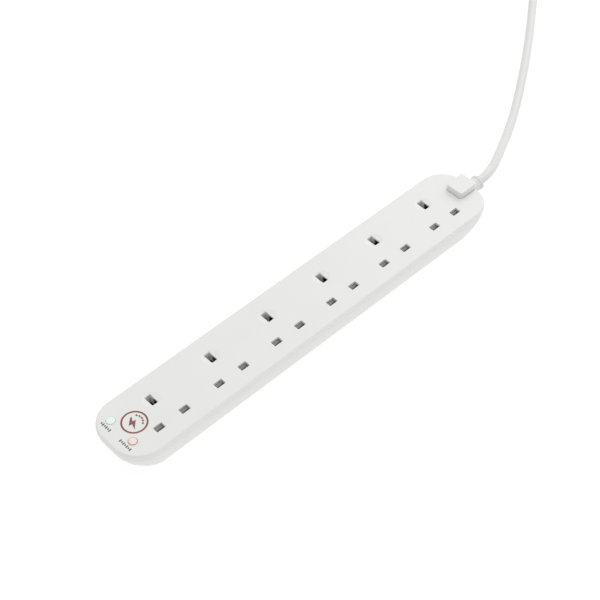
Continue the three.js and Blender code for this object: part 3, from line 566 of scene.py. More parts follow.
def dipped(name, colour):
    """Epoxy dip: glossy, with slow sags and pinholes."""
    finish = Finish(name, coat_weight=0.4, coat_roughness=0.1)
    sag = finish.noise(260)
    pits = finish.noise(3000, detail=1)
    finish.feed(base_color=finish.swing(sag, colour, 0.7, 1.15), roughness=0.3 + 0.2 * pits)
    return finish.bump(sag + 0.15 * pits, 0.12)


def banded(name):
    """Resistor lacquer with its colour code, by distance along the body."""
    finish = Finish(name, coat_weight=0.3)
    along, _, _ = finish.axes(finish.where("UV"))
    tan, brown, black, yellow, gold = (
        (0.55, 0.4, 0.22), (0.12, 0.04, 0.02), (0.02, 0.02, 0.02), (0.7, 0.45, 0.03), (0.5, 0.34, 0.1),
    )
    bands = [tan, yellow, tan, brown, tan, black, tan, gold, tan]
    edges = [0.0, 0.24, 0.3, 0.4, 0.46, 0.55, 0.61, 0.72, 0.78]
    code = finish.add("ValToRGB", {"stops": list(zip(edges, bands))}, {"Fac": along})
    code.socket.node.color_ramp.interpolation = "CONSTANT"
    grit = finish.noise(1500)
    finish.feed(base_color=code, roughness=0.35 + 0.2 * grit)
    return finish.bump(grit, 0.02)


def wire_cover(name, colour, stripe=None):
    """Extruded core insulation, with a second colour on the underside where the core is two-tone."""
    finish = Finish(name)
    cloud = finish.noise(500)
    main = finish.swing(cloud, colour, 0.8, 1.1)
    if stripe:
        _, _, up = finish.axes(finish.where("Normal"))
        main = finish.mix(up > 0.1, stripe, main)
    finish.feed(base_color=main, roughness=0.38 + 0.15 * cloud)
    return finish.bump(cloud, 0.02)


def hook_and_loop(name, colour):
    """Woven strap on its UV: a coarse loop pile over a ribbed ground, its colour lighter on the loop tops
    and darker in the gaps between loops as painted shade.
    """
    finish = Finish(name, sheen_weight=0.4)
    along, around, _ = finish.axes(finish.where("UV"))
    place = finish.vector(1500 * along, 1500 * around)
    loops = finish.add("TexVoronoi", values={"Scale": 1.0, "Vector": place})
    fuzz = finish.noise(5000)
    # painted shade: the colour follows the pile's relief, 2.4 times the strap colour on the loop tops and
    # 0.6 times in the gaps
    finish.feed(base_color=finish.swing(loops, colour, 2.4, 0.6), roughness=0.75 + 0.2 * fuzz)
    return finish.bump(1 - loops, 0.25)


def fired_clay(name):
    """Ceramic fuse body between plated end caps, by distance along Y from its middle."""
    finish = Finish(name)
    _, y, _ = finish.axes()
    middle = PLUG_Y * MM
    barrel = 6.3 * MM
    cap = (y > middle + barrel) + (y < middle - barrel)
    grit = finish.noise(1800, detail=3)
    clay = finish.mix(grit, (0.62, 0.54, 0.42), (0.74, 0.68, 0.56))
    finish.feed(
        base_color=finish.mix(cap, clay, (0.72, 0.72, 0.74)),
        metallic=1.0 * cap,
        roughness=0.6 - 0.32 * cap + 0.12 * grit,
    )
    return finish.bump(grit, 0.02)


def glow_glass(name):
    """Neon bulb glass, warm inside, with drawn streaks."""
    finish = Finish(name, coat_weight=0.8, emission_strength=0.4)
    streak = finish.noise(700)
    finish.feed(
        base_color=finish.mix(streak, (0.75, 0.5, 0.38), (0.9, 0.72, 0.6)),
        emission_color=finish.mix(streak, (0.9, 0.35, 0.12), (0.5, 0.18, 0.06)),
        roughness=0.08 + 0.08 * streak,
    )
    return finish.bump(streak, 0.02)


FINISHES = {}


def finish_for(slot):
    """The material of a slot in the record, made once from the user's colours."""
    if slot not in FINISHES:
        colours = bpy.context.scene.lead_colours
        white, soft, copper, green, pink, ring = [
            tuple(getattr(colours, name))
            for name in ("case", "flex", "brass", "power_lens", "surge_lens", "ring")
        ]
        maker, *values = {
            "case_white": (moulded, white, 0.36),
            "base_white": (moulded, shade(white, 0.99), 0.42),
            "plug_white": (moulded, white, 0.36),
            # the shutters' finish holds painted shade, grey and darkening towards -Y
            "shutter_white": (shutter_painted_shade, tuple(colours.shutter)),
            "carrier_white": (moulded, shade(white, 0.9), 0.5, 0.03),
            "sleeve_black": (moulded, (0.018, 0.018, 0.02), 0.45, 0.02, 0.3),
            "guard_white": (moulded, soft, 0.5, 0.03),
            "sheath_white": (flexible, soft, 0.3),
            "brass": (metal, copper, 0.32, (2200, 40, 40)),
            "pin_brass": (metal, shade(copper, 1.05), 0.24, (900, 900, 30)),
            "spring_steel": (metal, (0.5, 0.5, 0.52), 0.28, (60, 900, 60)),
            "zinc_steel": (metal, (0.66, 0.67, 0.7), 0.34, (300, 300, 300), 0.4),
            "fuse_metal": (metal, (0.6, 0.6, 0.62), 0.4, (60, 900, 60)),
            "lens_green": (lamp_lens, green, (0.75, 1.0, 0.8), 0.08, "power", (0.72, 0.82, 0.74)),
            "lens_pink": (lamp_lens, pink, (1.0, 0.8, 0.78), 0.05, "surge", (0.66, 0.4, 0.38)),
            "neon_glass": (glow_glass,),
            "board_green": (circuit_board,),
            "varistor_blue": (dipped, (0.03, 0.11, 0.42)),
            "resistor_tan": (banded,),
            "core_brown": (wire_cover, (0.13, 0.05, 0.02)),
            "core_blue": (wire_cover, (0.03, 0.13, 0.5)),
            "core_green": (wire_cover, (0.09, 0.36, 0.05), (0.75, 0.62, 0.04)),
            "tie_black": (hook_and_loop, (0.02, 0.02, 0.022)),
            "fuse_ceramic": (fired_clay,),
            "print_ink": (ink, ring),
            "legend_ink": (ink, (0.05, 0.035, 0.035)),
        }[slot]
        FINISHES[slot] = maker(slot, *values)
    return FINISHES[slot]


def dress(nodes, slot):
    """Puts a slot's finish on CAD nodes whose shape stays."""
    for name in nodes:
        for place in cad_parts[name].material_slots:
            place.material = finish_for(slot)


# ---------------------------------------------------------------- what a user may change
class LeadSizes(bpy.types.PropertyGroup):
    """Sizes that change the look without moving a CAD piece."""

    cover_edge: bpy.props.FloatProperty(
        name="Cover edge", description="Radius of the cover's top edge, in mm", default=2.0, min=0.5, max=3
    )
    slot_lip: bpy.props.FloatProperty(
        name="Slot lip",
        description="Radius of the lip round each aperture, in mm",
        default=0.4,
        min=0.05,
        max=0.8,
    )
    cord_diameter: bpy.props.FloatProperty(
        name="Flex diameter", description="Outer diameter of the flex", default=0.0074, unit="LENGTH"
    )
    spring_turns: bpy.props.IntProperty(
        name="Spring turns", description="Turns of wire in each shutter spring", default=6, min=3, max=10
    )


def tint(name, text, default):
    """A colour that a user may change."""
    return bpy.props.FloatVectorProperty(name=name, description=text, default=default, subtype="COLOR")


class LeadColours(bpy.types.PropertyGroup):
    """Colours of the moulded pieces, the lamps and the print."""

    case: tint("Case", "Moulded case and plug", (0.80, 0.80, 0.79))
    flex: tint("Flex", "Flex sheath and its guards", (0.72, 0.72, 0.71))
    # the shutters are white; this grey default is painted shade, darker to stand in for the shade inside
    # the apertures
    shutter: tint("Shutters", "Shutters behind the apertures", (0.4, 0.4, 0.39))
    brass: tint("Brass", "Busbars and pins", (0.76, 0.6, 0.34))
    power_lens: tint("Power lens", "Lens of the power lamp", (0.77, 0.87, 0.79))
    surge_lens: tint("Surge lens", "Lens of the surge lamp", (0.83, 0.73, 0.72))
    ring: tint("Ring", "Printed ring and bolt", (0.2, 0.075, 0.06))


# ---------------------------------------------------------------- shapes of this lead
def case_outline(z, offset, steps=24):
    """Plan of the case at a height: full above the seam, drawn in below it by a power of the depth."""
    share = min(max((PARTING_Z - z) / (PARTING_Z - FOOT), 0), 1) ** TAPER_POWER
    side, end = SIDE_TAPER * share, END_TAPER * share
    lost = CORNER_KEEP * (side + end) / 2 + offset
    half_x = CASE_LENGTH / 2 - end - offset
    half_y = CASE_WIDTH / 2 - side - offset
    return rounded(-half_x, half_x, -half_y, half_y, LAMP_END_RADIUS - lost, CORD_END_RADIUS - lost, steps)


def slot_cutter(x, y, half_x, half_y, top, lip):
    """An upright opening with rounded corners whose mouth opens out by a quarter circle of radius lip."""
    angles = np.linspace(0, math.pi / 2, 6)
    levels = [(19.0, 0.0)] + [(top - lip + lip * math.sin(a), lip * (1 - math.cos(a))) for a in angles]
    levels.append((FACE_Z + 1, lip * 1.05))
    rings = []
    for z, o in levels:
        corner = 0.45 + o
        outline = rounded(x - half_x - o, x + half_x + o, y - half_y - o, y + half_y + o, corner, corner, 4)
        rings.append((z, outline))
    return stack(rings)


def cover_mesh(sizes):
    """Cover: a rounded plate and skirt, hollowed, with bosses, ribs, apertures, dishes and a notch."""
    edge = sizes.cover_edge
    levels = [(PARTING_Z, case_outline(PARTING_Z, 0.25)), (PARTING_Z + 0.08, case_outline(PARTING_Z, 0.08))]
    levels.append((PARTING_Z + 0.25, case_outline(PARTING_Z, 0)))
    for angle in np.linspace(0, math.pi / 2, 10):
        outline = case_outline(PARTING_Z, edge * (1 - math.cos(angle)))
        levels.append((FACE_Z - edge * (1 - math.sin(angle)), outline))
    under = FACE_Z - PLATE
    hollow = [(PARTING_Z - 1, case_outline(PARTING_Z, WALL)), (under, case_outline(PARTING_Z, WALL))]
    mesh = carve(cast([stack(levels)]), [stack(hollow)])
    mesh = join(mesh, [post(x, y, 3.9, 20.0, under + 1) for x, y in SCREWS])
    ribs = [
        box(x + side * 6.1 - 0.5, x + side * 6.1 + 0.5, -9, 3, 24.8, under + 1)
        for x in SOCKETS
        for side in SIDES
    ]
    mesh = join(mesh, ribs)
    mesh = carve(mesh, [post(x, y, 2.05, 19.0, under - 1) for x, y in SCREWS])
    guides = [box(x - 3.4, x + 3.4, 10.2, 13.95, 20.5, under + 1) for x in SOCKETS]
    mesh = join(mesh, guides)
    ball = 25.0
    dish = [(r, FACE_Z - 1 + ball - math.sqrt(ball**2 - r**2)) for r in np.linspace(0, 7, 12)]
    dish += [(7.15, 30.02), (7.3, 31), (0, 31)]
    mesh = carve(mesh, [turned(dish, 64, (x, EARTH_Y, 0)) for x in SOCKETS])
    openings, lip = [], sizes.slot_lip
    for x in SOCKETS:
        openings.append(slot_cutter(x, EARTH_Y, 2.4, 4.4, FACE_Z - 0.75, lip))
        for side in SIDES:
            openings.append(slot_cutter(x + side * PIN_SPACING / 2, POWER_Y, 3.6, 2.4, FACE_Z, lip))
    mesh = carve(mesh, openings)
    hole = [(0, 26), (3.36, 26), (3.36, 29.8), (3.56, 30.01), (3.56, 31.2), (0, 31.2)]
    for y in LAMPS.values():
        mesh = carve(mesh, [turned(hole, 44, (LENS_X, y, 0))])
    notch = rounded(159.5, 179, -8.2, 8.2, 2.8, 0.5, 8)
    return carve(mesh, [stack([(25, notch), (31, notch)])])


def base_mesh():
    """Base: a tapered tub with screw pillars, rests, a lip behind the cover, counterbores and feet."""
    floor = FOOT + 2
    edge = [(FOOT + 2 * (1 - math.cos(a)), 2 * (1 - math.sin(a))) for a in np.linspace(0, math.pi / 2, 8)]
    flank = [(z, 0.0) for z in np.linspace(4, RIM_Z - 0.2, 14)] + [(RIM_Z, 0.2)]
    hull = stack([(z, case_outline(z, SEAM_INSET + o)) for z, o in edge + flank])
    inside = [(z, case_outline(z, SEAM_INSET + WALL)) for z in np.linspace(floor, RIM_Z + 1, 14)]
    mesh = carve(cast([hull]), [stack(inside)])
    low = floor - 0.5
    fittings = [post(x, y, 5, low, 19.7) for x, y in SCREWS]
    for x in SOCKETS:
        for o in (-16.2, -6.4, 6.4, 16.2):
            fittings.append(box(x + o - 0.5, x + o + 0.5, -16.8, -10.6, low, 24.3))
        fittings.append(box(x - 3, x + 3, -7.6, -6.4, low, 23.9))
        fittings += [box(x + 21, x + 24, y - 1.2, y + 1.2, low, 6.7) for y in STRIPS_Y]
    fittings += [post(x, y, 1.8, low, 13.7, 16) for x in (-165.5, -155.5) for y in (-11, 11)]
    fittings += [post(CLAMP_X, side * CLAMP_Y, 3.6, low, 21.2) for side in SIDES]
    fittings.append(box(161.8, 166.8, -3.5, 3.5, low, 19.5))
    inner = as_skin(carve(cast(fittings), [hull], "INTERSECT"))
    mesh = join(mesh, [inner])
    rings = []
    for z0, z1, offset in ((24, RIM_Z, WALL - 0.4), (RIM_Z - 0.5, 27.4, WALL + GAP)):
        outer = cast([stack([(z, case_outline(z, offset)) for z in (z0, z1)])])
        bore = stack([(z, case_outline(PARTING_Z, 3.5)) for z in (z0 - 1, z1 + 1)])
        rings.append(as_skin(carve(outer, [bore])))
    for ring in rings:
        mesh = join(mesh, [ring])
    mesh = carve(mesh, [turned([(0, 171), (5, 171), (5, 179), (0, 179)], 40, (0, 0, GUARD_Z), "X")])
    mesh = carve(mesh, [box(150, 179, -9.6, 9.6, RIM_Z, 40)])
    mesh = carve(mesh, [box(150, 174.9, -9.6, 9.6, 23.9, 40)])
    bore = [(0, -1), (3.7, -1), (3.7, 6), (2.05, 6), (2.05, 40), (0, 40)]
    bores = [turned(bore, 32, (x, y, 0)) for x, y in SCREWS]
    bores += [post(CLAMP_X, side * CLAMP_Y, 1.7, 13, 30, 16) for side in SIDES]
    mesh = carve(mesh, bores)
    foot = [(0, 0), (3.6, 0), (3.9, 0.15), (4, 0.5), (4, 1.5), (0, 1.5)]
    feet = [turned(foot, 40, (x, y, 0)) for x in (-135, 135) for y in (-11, 11)]
    mesh = join(mesh, feet)
    panel = rounded(-45, 45, -14, -5.5, 1.2, 1.2, 6)
    return carve(mesh, [stack([(0, panel), (FOOT + 0.4, panel)])])


def slab(line, x0, x1):
    """A flat outline of (y, z) points given thickness along X."""
    line = np.array(line, float)
    return skin(np.array([np.column_stack([np.full(len(line), x), line]) for x in (x0, x1)]))


def shutter_mesh():
    """Shutter: a plate across both power apertures with a sloping pad under each, a stem and a ramp."""
    mesh = cast([box(-17, 17, -17.2, -10.4, 24.6, 27.2, 0.6)])
    mesh = join(mesh, [box(-5, 5, -10.6, 4.3, 24.6, 27.2)])
    ramp = [(3.9, 18.5), (9.9, 18.5), (9.9, 19.3), (4.5, 27.2), (3.9, 27.2)]
    mesh = join(mesh, [slab(ramp, -4.5, 4.5)])
    pad = [(-16.6, 25.0), (-11.0, 27.25), (-11.0, 28), (-16.6, 28)]
    middles = (-PIN_SPACING / 2, PIN_SPACING / 2)
    return carve(mesh, [slab(pad, m - 4.4, m + 4.4) for m in middles])


def cap_mesh():
    """Cord grip cap: a hollow raised block with a soft top edge, on two barbed legs."""
    top = 35.5

    def plan(o):
        return rounded(159.8 + o, 177.3 - o, o - 7.9, 7.9 - o, 2.5 - o * 0.6, 1.4 - o * 0.6, 8)

    edge = 0.7
    levels = [(PARTING_Z, plan(0)), (top - edge, plan(0))]
    for a in np.linspace(0.2, math.pi / 2, 8):
        levels.append((top - edge * (1 - math.sin(a)), plan(edge * (1 - math.cos(a)))))
    mesh = carve(cast([stack(levels)]), [box(161.3, 175.3, -6.4, 6.4, 25, 33.5, 1)])
    for y, half, low, high in ((7.15, 0.75, 22, 27), (8.3, 0.8, 25.6, 27.5)):
        legs = [box(168.5, 172, side * y - half, side * y + half, low, high) for side in SIDES]
        mesh = join(mesh, legs)
    mesh = carve(mesh, [box(158.8, 162.3, -6.4, 6.4, 20, 27.8)])
    return carve(mesh, [turned([(0, 174), (5, 174), (5, 179), (0, 179)], 40, (0, 0, GUARD_Z), "X")])


def coil_line():
    """Two layers of three turns round the coil's middle. The radius steps by a diameter between turns,
    the height by a diameter between layers, and both layers rise where the tie passes under them."""
    u = np.arange(0, 1912.6, 2.5)
    pitch = 7.6
    inward = ease(u, 300, 360) + ease(u, 660, 720) - ease(u, 1260, 1320) - ease(u, 1620, 1680)
    radius = 52 - pitch * inward
    theta = np.radians(u - 52.5)
    away = (theta - TIE_ANGLE + math.pi) % (2 * math.pi) - math.pi
    rise = 1.3 * ease(22 - np.abs(radius * away), 0, 14)
    height = 3.8 + pitch * ease(u, 960, 1020) + rise
    x = COIL_CENTRE[0] + radius * np.cos(theta)
    y = COIL_CENTRE[1] + radius * np.sin(theta)
    return np.column_stack([x, y, height])


def cord_line():
    """The whole flex: the free stretch, the coil and the tail into the plug."""
    coil = coil_line()
    lead = smooth_line(LEAD + [tuple(coil[0])], 2.5)
    tail = smooth_line([tuple(coil[-1])] + TAIL, 2.5)
    whole = np.vstack([lead[:-1], coil, tail[1:]])
    fresh = np.concatenate([[True], strides(whole) > 0.05])
    line = even(whole[fresh], 1.0)
    near = np.array([1, 4, 6, 4, 1]) / 16
    soft = np.column_stack([np.convolve(np.pad(line[:, i], 2, "edge"), near, "valid") for i in range(3)])
    return even(soft, 2.4)


def tie_line(steps=96):
    """Rounded rectangle round the coil's section, upright and square to the turns."""
    half = 0.55
    r0, r1, z0, z1 = 32.2 - half, 56.6 + half, 0.2 + half, 17.2 + half
    flat = rounded(r0, r1, z0, z1, 4.2, 4.2, steps // 8)
    out = np.array([math.cos(TIE_ANGLE), math.sin(TIE_ANGLE), 0])
    centre = np.array([*COIL_CENTRE, 0])
    return centre + flat[:, :1] * out + flat[:, 1:] * np.array([0, 0, 1])


def stance(right, up, back, place):
    """Matrix of a camera or lamp from its three directions and its place in millimetres."""
    pose = Matrix.Identity(4)
    for row in range(3):
        pose[row][:] = (right[row], up[row], back[row], place[row] * MM)
    return pose


# ---------------------------------------------------------------- operators
class Build:
    """What the operators share."""

    bl_options = {"REGISTER", "UNDO"}

    def execute(self, context):
        self.build(context.scene.lead_sizes)
        return {"FINISHED"}


class BuildStage(Build, bpy.types.Operator):
    """Floor, soft studio light and the camera."""

    bl_idname = "lead.stage"
    bl_label = "Stage"

    def build(self, sizes):
        scene = bpy.context.scene
        scene.view_settings.view_transform = "Standard"
        azimuth, elevation, roll = CAMERA_TURN
        flat = math.cos(elevation)
        back = np.array([math.sin(azimuth) * flat, -math.cos(azimuth) * flat, math.sin(elevation)])
        level = np.cross([0, 0, 1], back)
        level /= np.linalg.norm(level)
        upright = np.cross(back, level)
        right = math.cos(roll) * level + math.sin(roll) * upright
        up = math.cos(roll) * upright - math.sin(roll) * level
        camera = link(bpy.data.objects.new("camera", bpy.data.cameras.new("camera")))
        camera.data.lens = CAMERA_LENS
        camera.data.sensor_width = 36
        camera.data.clip_end = 20
        camera.matrix_world = stance(right, up, back, CAMERA_PLACE)
        scene.camera = camera

        floor = link(bpy.data.objects.new("floor", cast([block(0, 0, 9000, 9000, -3, -0.02)])))
        table = Finish(
            "pale_floor",
            base_color=(0.27, 0.27, 0.27, 1),
            roughness=0.9,
            specular_ior_level=0.1,
            emission_color=(1, 1, 1, 1),
            emission_strength=0.79,
        )
        floor.data.materials.append(table.material)

        world = bpy.data.worlds.new("studio")
        scene.world = world
        world.use_nodes = True
        tree = world.node_tree
        where = tree.nodes.new("ShaderNodeTexCoord")
        parts = tree.nodes.new("ShaderNodeSeparateXYZ")
        tree.links.new(where.outputs["Generated"], parts.inputs[0])
        x, y, z = [Wire(tree, parts.outputs[i]) for i in range(3)]
        level = 0.66 + 0.13 * x + 0.08 * y + 0.24 * z
        tree.links.new(level.socket, tree.nodes["Background"].inputs["Strength"])
        tree.nodes["Background"].inputs["Color"].default_value = (1, 1, 1, 1)

        for name, place, size, power in (
            ("key", (1000, 200, 800), 900, 2.6),
            ("top", (0, -100, 1500), 1200, 2.8),
        ):
            lamp = link(bpy.data.objects.new(name, bpy.data.lights.new(name, "AREA")))
            lamp.data.size = size * MM
            lamp.data.energy = power
            target = np.array([60, 0, 20]) - np.array(place)
            target = target / np.linalg.norm(target)
            side = np.cross(target, [0, 0, 1])
            side = side / np.linalg.norm(side)
            lamp.matrix_world = stance(side, np.cross(side, target), -target, place)


class BuildFlex(Build, bpy.types.Operator):
    """The flex from the guard to the plug, and the strap round its coil."""

    bl_idname = "lead.flex"
    bl_label = "Flex and strap"

    def build(self, sizes):
        line = cord_line()
        section = circle(sizes.cord_diameter / MM / 2, 16)
        mesh = cast([carried(line, section)], merge=False)
        length = float(strides(line).sum()) * MM
        lay_uv(mesh, len(line), len(section), length, sizes.cord_diameter * math.pi)
        flex = piece("flex", mesh, "sheath_white", ("cord_lead", "cord_coil", "cord_tail"), 60)

        loop = tie_line()
        out = np.array([-math.sin(TIE_ANGLE), math.cos(TIE_ANGLE), 0])
        strap = rounded(-0.55, 0.55, -5, 5, 0.3, 0.3, 3)
        wound = cast([carried(loop, strap, out, closed=True)], merge=False)
        girth = float(strides(loop).sum()) * MM
        lay_uv(wound, len(loop) + 1, len(strap), girth, 22 * MM)
        tie = piece("strap", weld(wound), "tie_black", ("cord_tie",), 50)


class BuildPlug(Build, bpy.types.Operator):
    """The moulded plug, its flex guard and the finishes of its pins, sleeves, fuse and carrier."""

    bl_idname = "lead.plug"
    bl_label = "Plug"

    def build(self, sizes):
        low, high = span("plug_body")
        inset_z = np.array([0, 0.8, 2.2, 5, 9, 14, 19, 20.4, 21])
        inset = np.array([3, 1.6, 0.7, 0.2, 0, 0, 0, 0.35, 1.2])
        heights = np.concatenate([np.linspace(0, 5, 10), np.linspace(6, 18.5, 6), np.linspace(19, 21, 9)])
        waist = np.interp(heights, inset_z, inset)
        levels = []
        for z, o in zip(heights, waist):
            outline = rounded(low[0] + o, high[0] - o, low[1] + o, high[1] - o, 16 - o / 2, 9 - o / 2, 14)
            levels.append((float(z), outline))
        mesh = cast([stack(levels)])
        pockets = [pocket_round(name, 15, 22) for name in PINS]
        pockets.append(pocket_round("fuse_carrier", 10, 22))
        for side in SIDES:
            edge = PLUG_Y + side * 24.7
            pockets += [block(x, edge, 0.6, 0.75, 5, 16.5, 0.3) for x in range(346, 362, 3)]
        piece("moulded_plug", carve(mesh, pockets), "plug_white", ("plug_body",))

        start, end = 374.3, 402.0
        profile = [(4.0, start), (6.7, start)] + arc((6.7, start + 0.2), 0.2, -90, 0, 3)
        for x in np.linspace(start + 4, end - 6, 5):
            r = np.interp(x, [start, end], [6.9, 5.1])
            profile += [(r, x), (r - 0.9, x + 0.4), (r - 0.9, x + 2.0), (r - 0.1, x + 2.4)]
        profile += [(5.05, end - 1), (4.9, end - 0.2), (4.7, end), (4.0, end), (4.0, start)]
        guard = cast([turned(profile, 40, (0, PLUG_Y, PLUG_CORD_Z), "X")])
        piece("plug_guard", guard, "guard_white", ("plug_cord_guard",))
        dress(PINS, "pin_brass")
        dress(SLEEVES, "sleeve_black")
        dress(("fuse_carrier",), "carrier_white")
        dress(("plug_fuse",), "fuse_ceramic")


class BuildCover(Build, bpy.types.Operator):
    """The cover with its apertures, dishes and lamp holes."""

    bl_idname = "lead.cover"
    bl_label = "Cover"

    def build(self, sizes):
        piece("cover", cover_mesh(sizes), "case_white", ("top_cover",))


class BuildBase(Build, bpy.types.Operator):
    """The tapered base with its pillars, rests and feet."""

    bl_idname = "lead.base"
    bl_label = "Base"

    def build(self, sizes):
        piece("base", base_mesh(), "base_white", ("base_shell",))


class BuildGrip(Build, bpy.types.Operator):
    """The cord grip cap and the guard under it."""

    bl_idname = "lead.grip"
    bl_label = "Cord grip"

    def build(self, sizes):
        piece("grip_cap", cap_mesh(), "case_white", ("cord_grip_cap",))
        profile = [(4.0, 168), (5.8, 168), (6, 168.2), (6, 172.0), (5.8, 172.2), (4.7, 172.2), (4.7, 177.9)]
        profile += [(5.9, 177.9)] + arc((5.9, 178.2), 0.3, -90, 0, 4)
        profile += [(6.1, 179.5), (5.75, 183), (5.45, 185.4), (5.35, 186.1), (5.45, 186.35)]
        profile += arc((5.6, 186.7), 0.3, -90, 0, 4)
        profile += arc((5.5, 188.4), 0.4, 0, 90, 4) + [(4.0, 188.8), (4.0, 168)]
        guard = cast([turned(profile, 48, (0, 0, GUARD_Z), "X")])
        piece("case_guard", guard, "guard_white", ("cord_guard",))


class BuildLamps(Build, bpy.types.Operator):
    """The two lenses and the neons under them."""

    bl_idname = "lead.lamps"
    bl_label = "Lamps"

    def build(self, sizes):
        rise, bends = 0.7, np.linspace(0, math.pi / 2, 9)
        lens = [(0, 29), (2.4, 29), (2.4, 26.2), (4.3, 26.2), (4.4, 26.3), (4.4, 27.5)]
        lens += [(LENS_RADIUS, 27.5), (LENS_RADIUS, 30.0)]
        lens += [(LENS_RADIUS * math.cos(a), 30.05 + rise * math.sin(a)) for a in bends]
        bulb = [(0, LEG_Z), (0.9, LEG_Z), (0.9, 18), (1.5, 18.2), (2, 18.8), (2, 26.6)]
        bulb += [(1.85, 27.4), (1.4, 28.1), (0.8, 28.5), (0, 28.7)]
        for name, slot in (("power", "lens_green"), ("surge", "lens_pink")):
            place = (LENS_X, LAMPS[name], 0)
            cap = cast([turned(lens, 40, place)])
            piece(f"{name}_lamp_lens", cap, slot, (f"{name}_lens",), 40)
            glass = cast([turned(bulb, 24, place)])
            piece(f"{name}_lamp_bulb", glass, "neon_glass", (f"{name}_neon",), 40)


class BuildPrint(Build, bpy.types.Operator):
    """The printed ring with a plain bolt in it, and a row of marks beside each lamp."""

    bl_idname = "lead.print"
    bl_label = "Print"

    def build(self, sizes):
        low, high = FACE_Z + 0.005, FACE_Z + 0.04
        ring = [(8.3, low), (9.55, low), (9.6, high), (8.25, high), (8.3, low)]
        middle = (-153.2, 1.3)
        bolt = [(1.2, 4.6), (-3.4, 0.2), (-0.9, -0.3), (-2.6, -4.8), (3.0, 0.9), (0.6, 1.4), (2.6, 4.6)]
        bolt = np.array(bolt) * 1.05 + np.array(middle) + np.array([-1.2, 0])
        parts = [turned(ring, 96, (*middle, 0)), stack([(low, bolt), (high, bolt)])]
        for angle in np.radians([-52, -30, -8, 14, 36]):
            x, y = middle[0] + 5.9 * math.cos(angle), middle[1] + 5.9 * math.sin(angle)
            parts.append(block(x, y, 0.6, 0.85, low, high))
        piece("ring_print", cast(parts), "case_white", finish="print_ink")
        marks, column = [], -169.6
        for y0, y1 in ((7.0, 17.5), (-15.0, -4.0)):
            for i, y in enumerate(np.arange(y0, y1, 1.75)):
                half = (1.15, 0.7)[i % 2]
                marks.append(box(column - half, column + half, y, y + 0.95, low, high))
        piece("lamp_marks", cast(marks), "case_white", finish="legend_ink")


def screw_mesh(head, height, shank, length):
    """Pan head screw along +Z with a threaded shank and a cross recess in its low face."""
    pitch = 1.3
    turns = np.arange(height + 1.5, length - 2, pitch / 2)
    thread = [(shank if i % 2 == 0 else shank - 0.32, z) for i, z in enumerate(turns)]
    profile = [(0, 0), (head * 0.72, 0), (head * 0.92, height * 0.14)]
    profile += [(head, height * 0.42), (head, height)]
    profile += [(shank, height), (shank, height + 1.2)] + thread + [(0, length)]
    arm, half, deep = head * 0.62, head * 0.12, height * 0.6
    mesh = carve(cast([turned(profile, 24)]), [box(-arm, arm, -half, half, -1, deep)])
    return carve(mesh, [box(-half, half, -arm, arm, -1, deep)])


class BuildScrews(Build, bpy.types.Operator):
    """Six case screws from below and two in the cord clamp."""

    bl_idname = "lead.screws"
    bl_label = "Screws"

    def build(self, sizes):
        master = screw_mesh(3.3, 2.2, 1.75, 22.5)
        for i, (x, y) in enumerate(SCREWS, 1):
            mesh = cast([as_skin(master, (x, y, 3.5))])
            piece(f"pan_screw_{i}", mesh, "zinc_steel", (f"case_screw_{i}",))
        points, faces = as_skin(screw_mesh(2.8, 1.8, 1.4, 11.8))
        flipped = points * np.array([1, -1, -1])
        for i, side in enumerate(SIDES, 1):
            mesh = cast([(flipped + np.array([CLAMP_X, side * CLAMP_Y, 25.6]), faces)])
            piece(f"grip_screw_{i}", mesh, "zinc_steel", (f"clamp_screw_{i}",))
        dress(("cord_clamp",), "zinc_steel")


class BuildSprings(Build, bpy.types.Operator):
    """A coil spring behind each shutter, each on a mesh of its own."""

    bl_idname = "lead.springs"
    bl_label = "Shutter springs"

    def build(self, sizes):
        turns = sizes.spring_turns
        t = np.linspace(0, 1, turns * 20 + 1)
        wire, radius, low, high, height = 0.28, 1.7, -6.1, 3.6, 21.3
        close = 2 * wire * t * turns
        spare = (high - low - 2 * wire) - 2 * wire * turns
        along = low + wire + close + spare * ease(t, 1 / turns, 1 - 1 / turns)
        angle = 2 * math.pi * turns * t
        for k, x in enumerate(SOCKETS, 1):
            line = np.column_stack([x + radius * np.cos(angle), along, height + radius * np.sin(angle)])
            mesh = cast([carried(line, circle(wire, 8), (0, 1, 0))], merge=False)
            spring = piece(f"coil_spring_{k}", mesh, "spring_steel", (f"shutter_spring_{k}",), 60)
            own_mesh(spring)


def leads(x, y, z, reach, drop):
    """Wire of an axial part: out along Y at each end, then down to the board."""
    steps = np.radians(np.linspace(0, 90, 6))
    bend = [(x, y + reach - 0.6 + 0.6 * math.sin(a), z - 0.6 + 0.6 * math.cos(a)) for a in steps]
    half = [(x, y, z)] + bend + [(x, y + reach, z - drop)]
    other = [(px, 2 * y - py, pz) for px, py, pz in half]
    return carried(np.array(other[:0:-1] + half), circle(0.3, 8), (1, 0, 0))


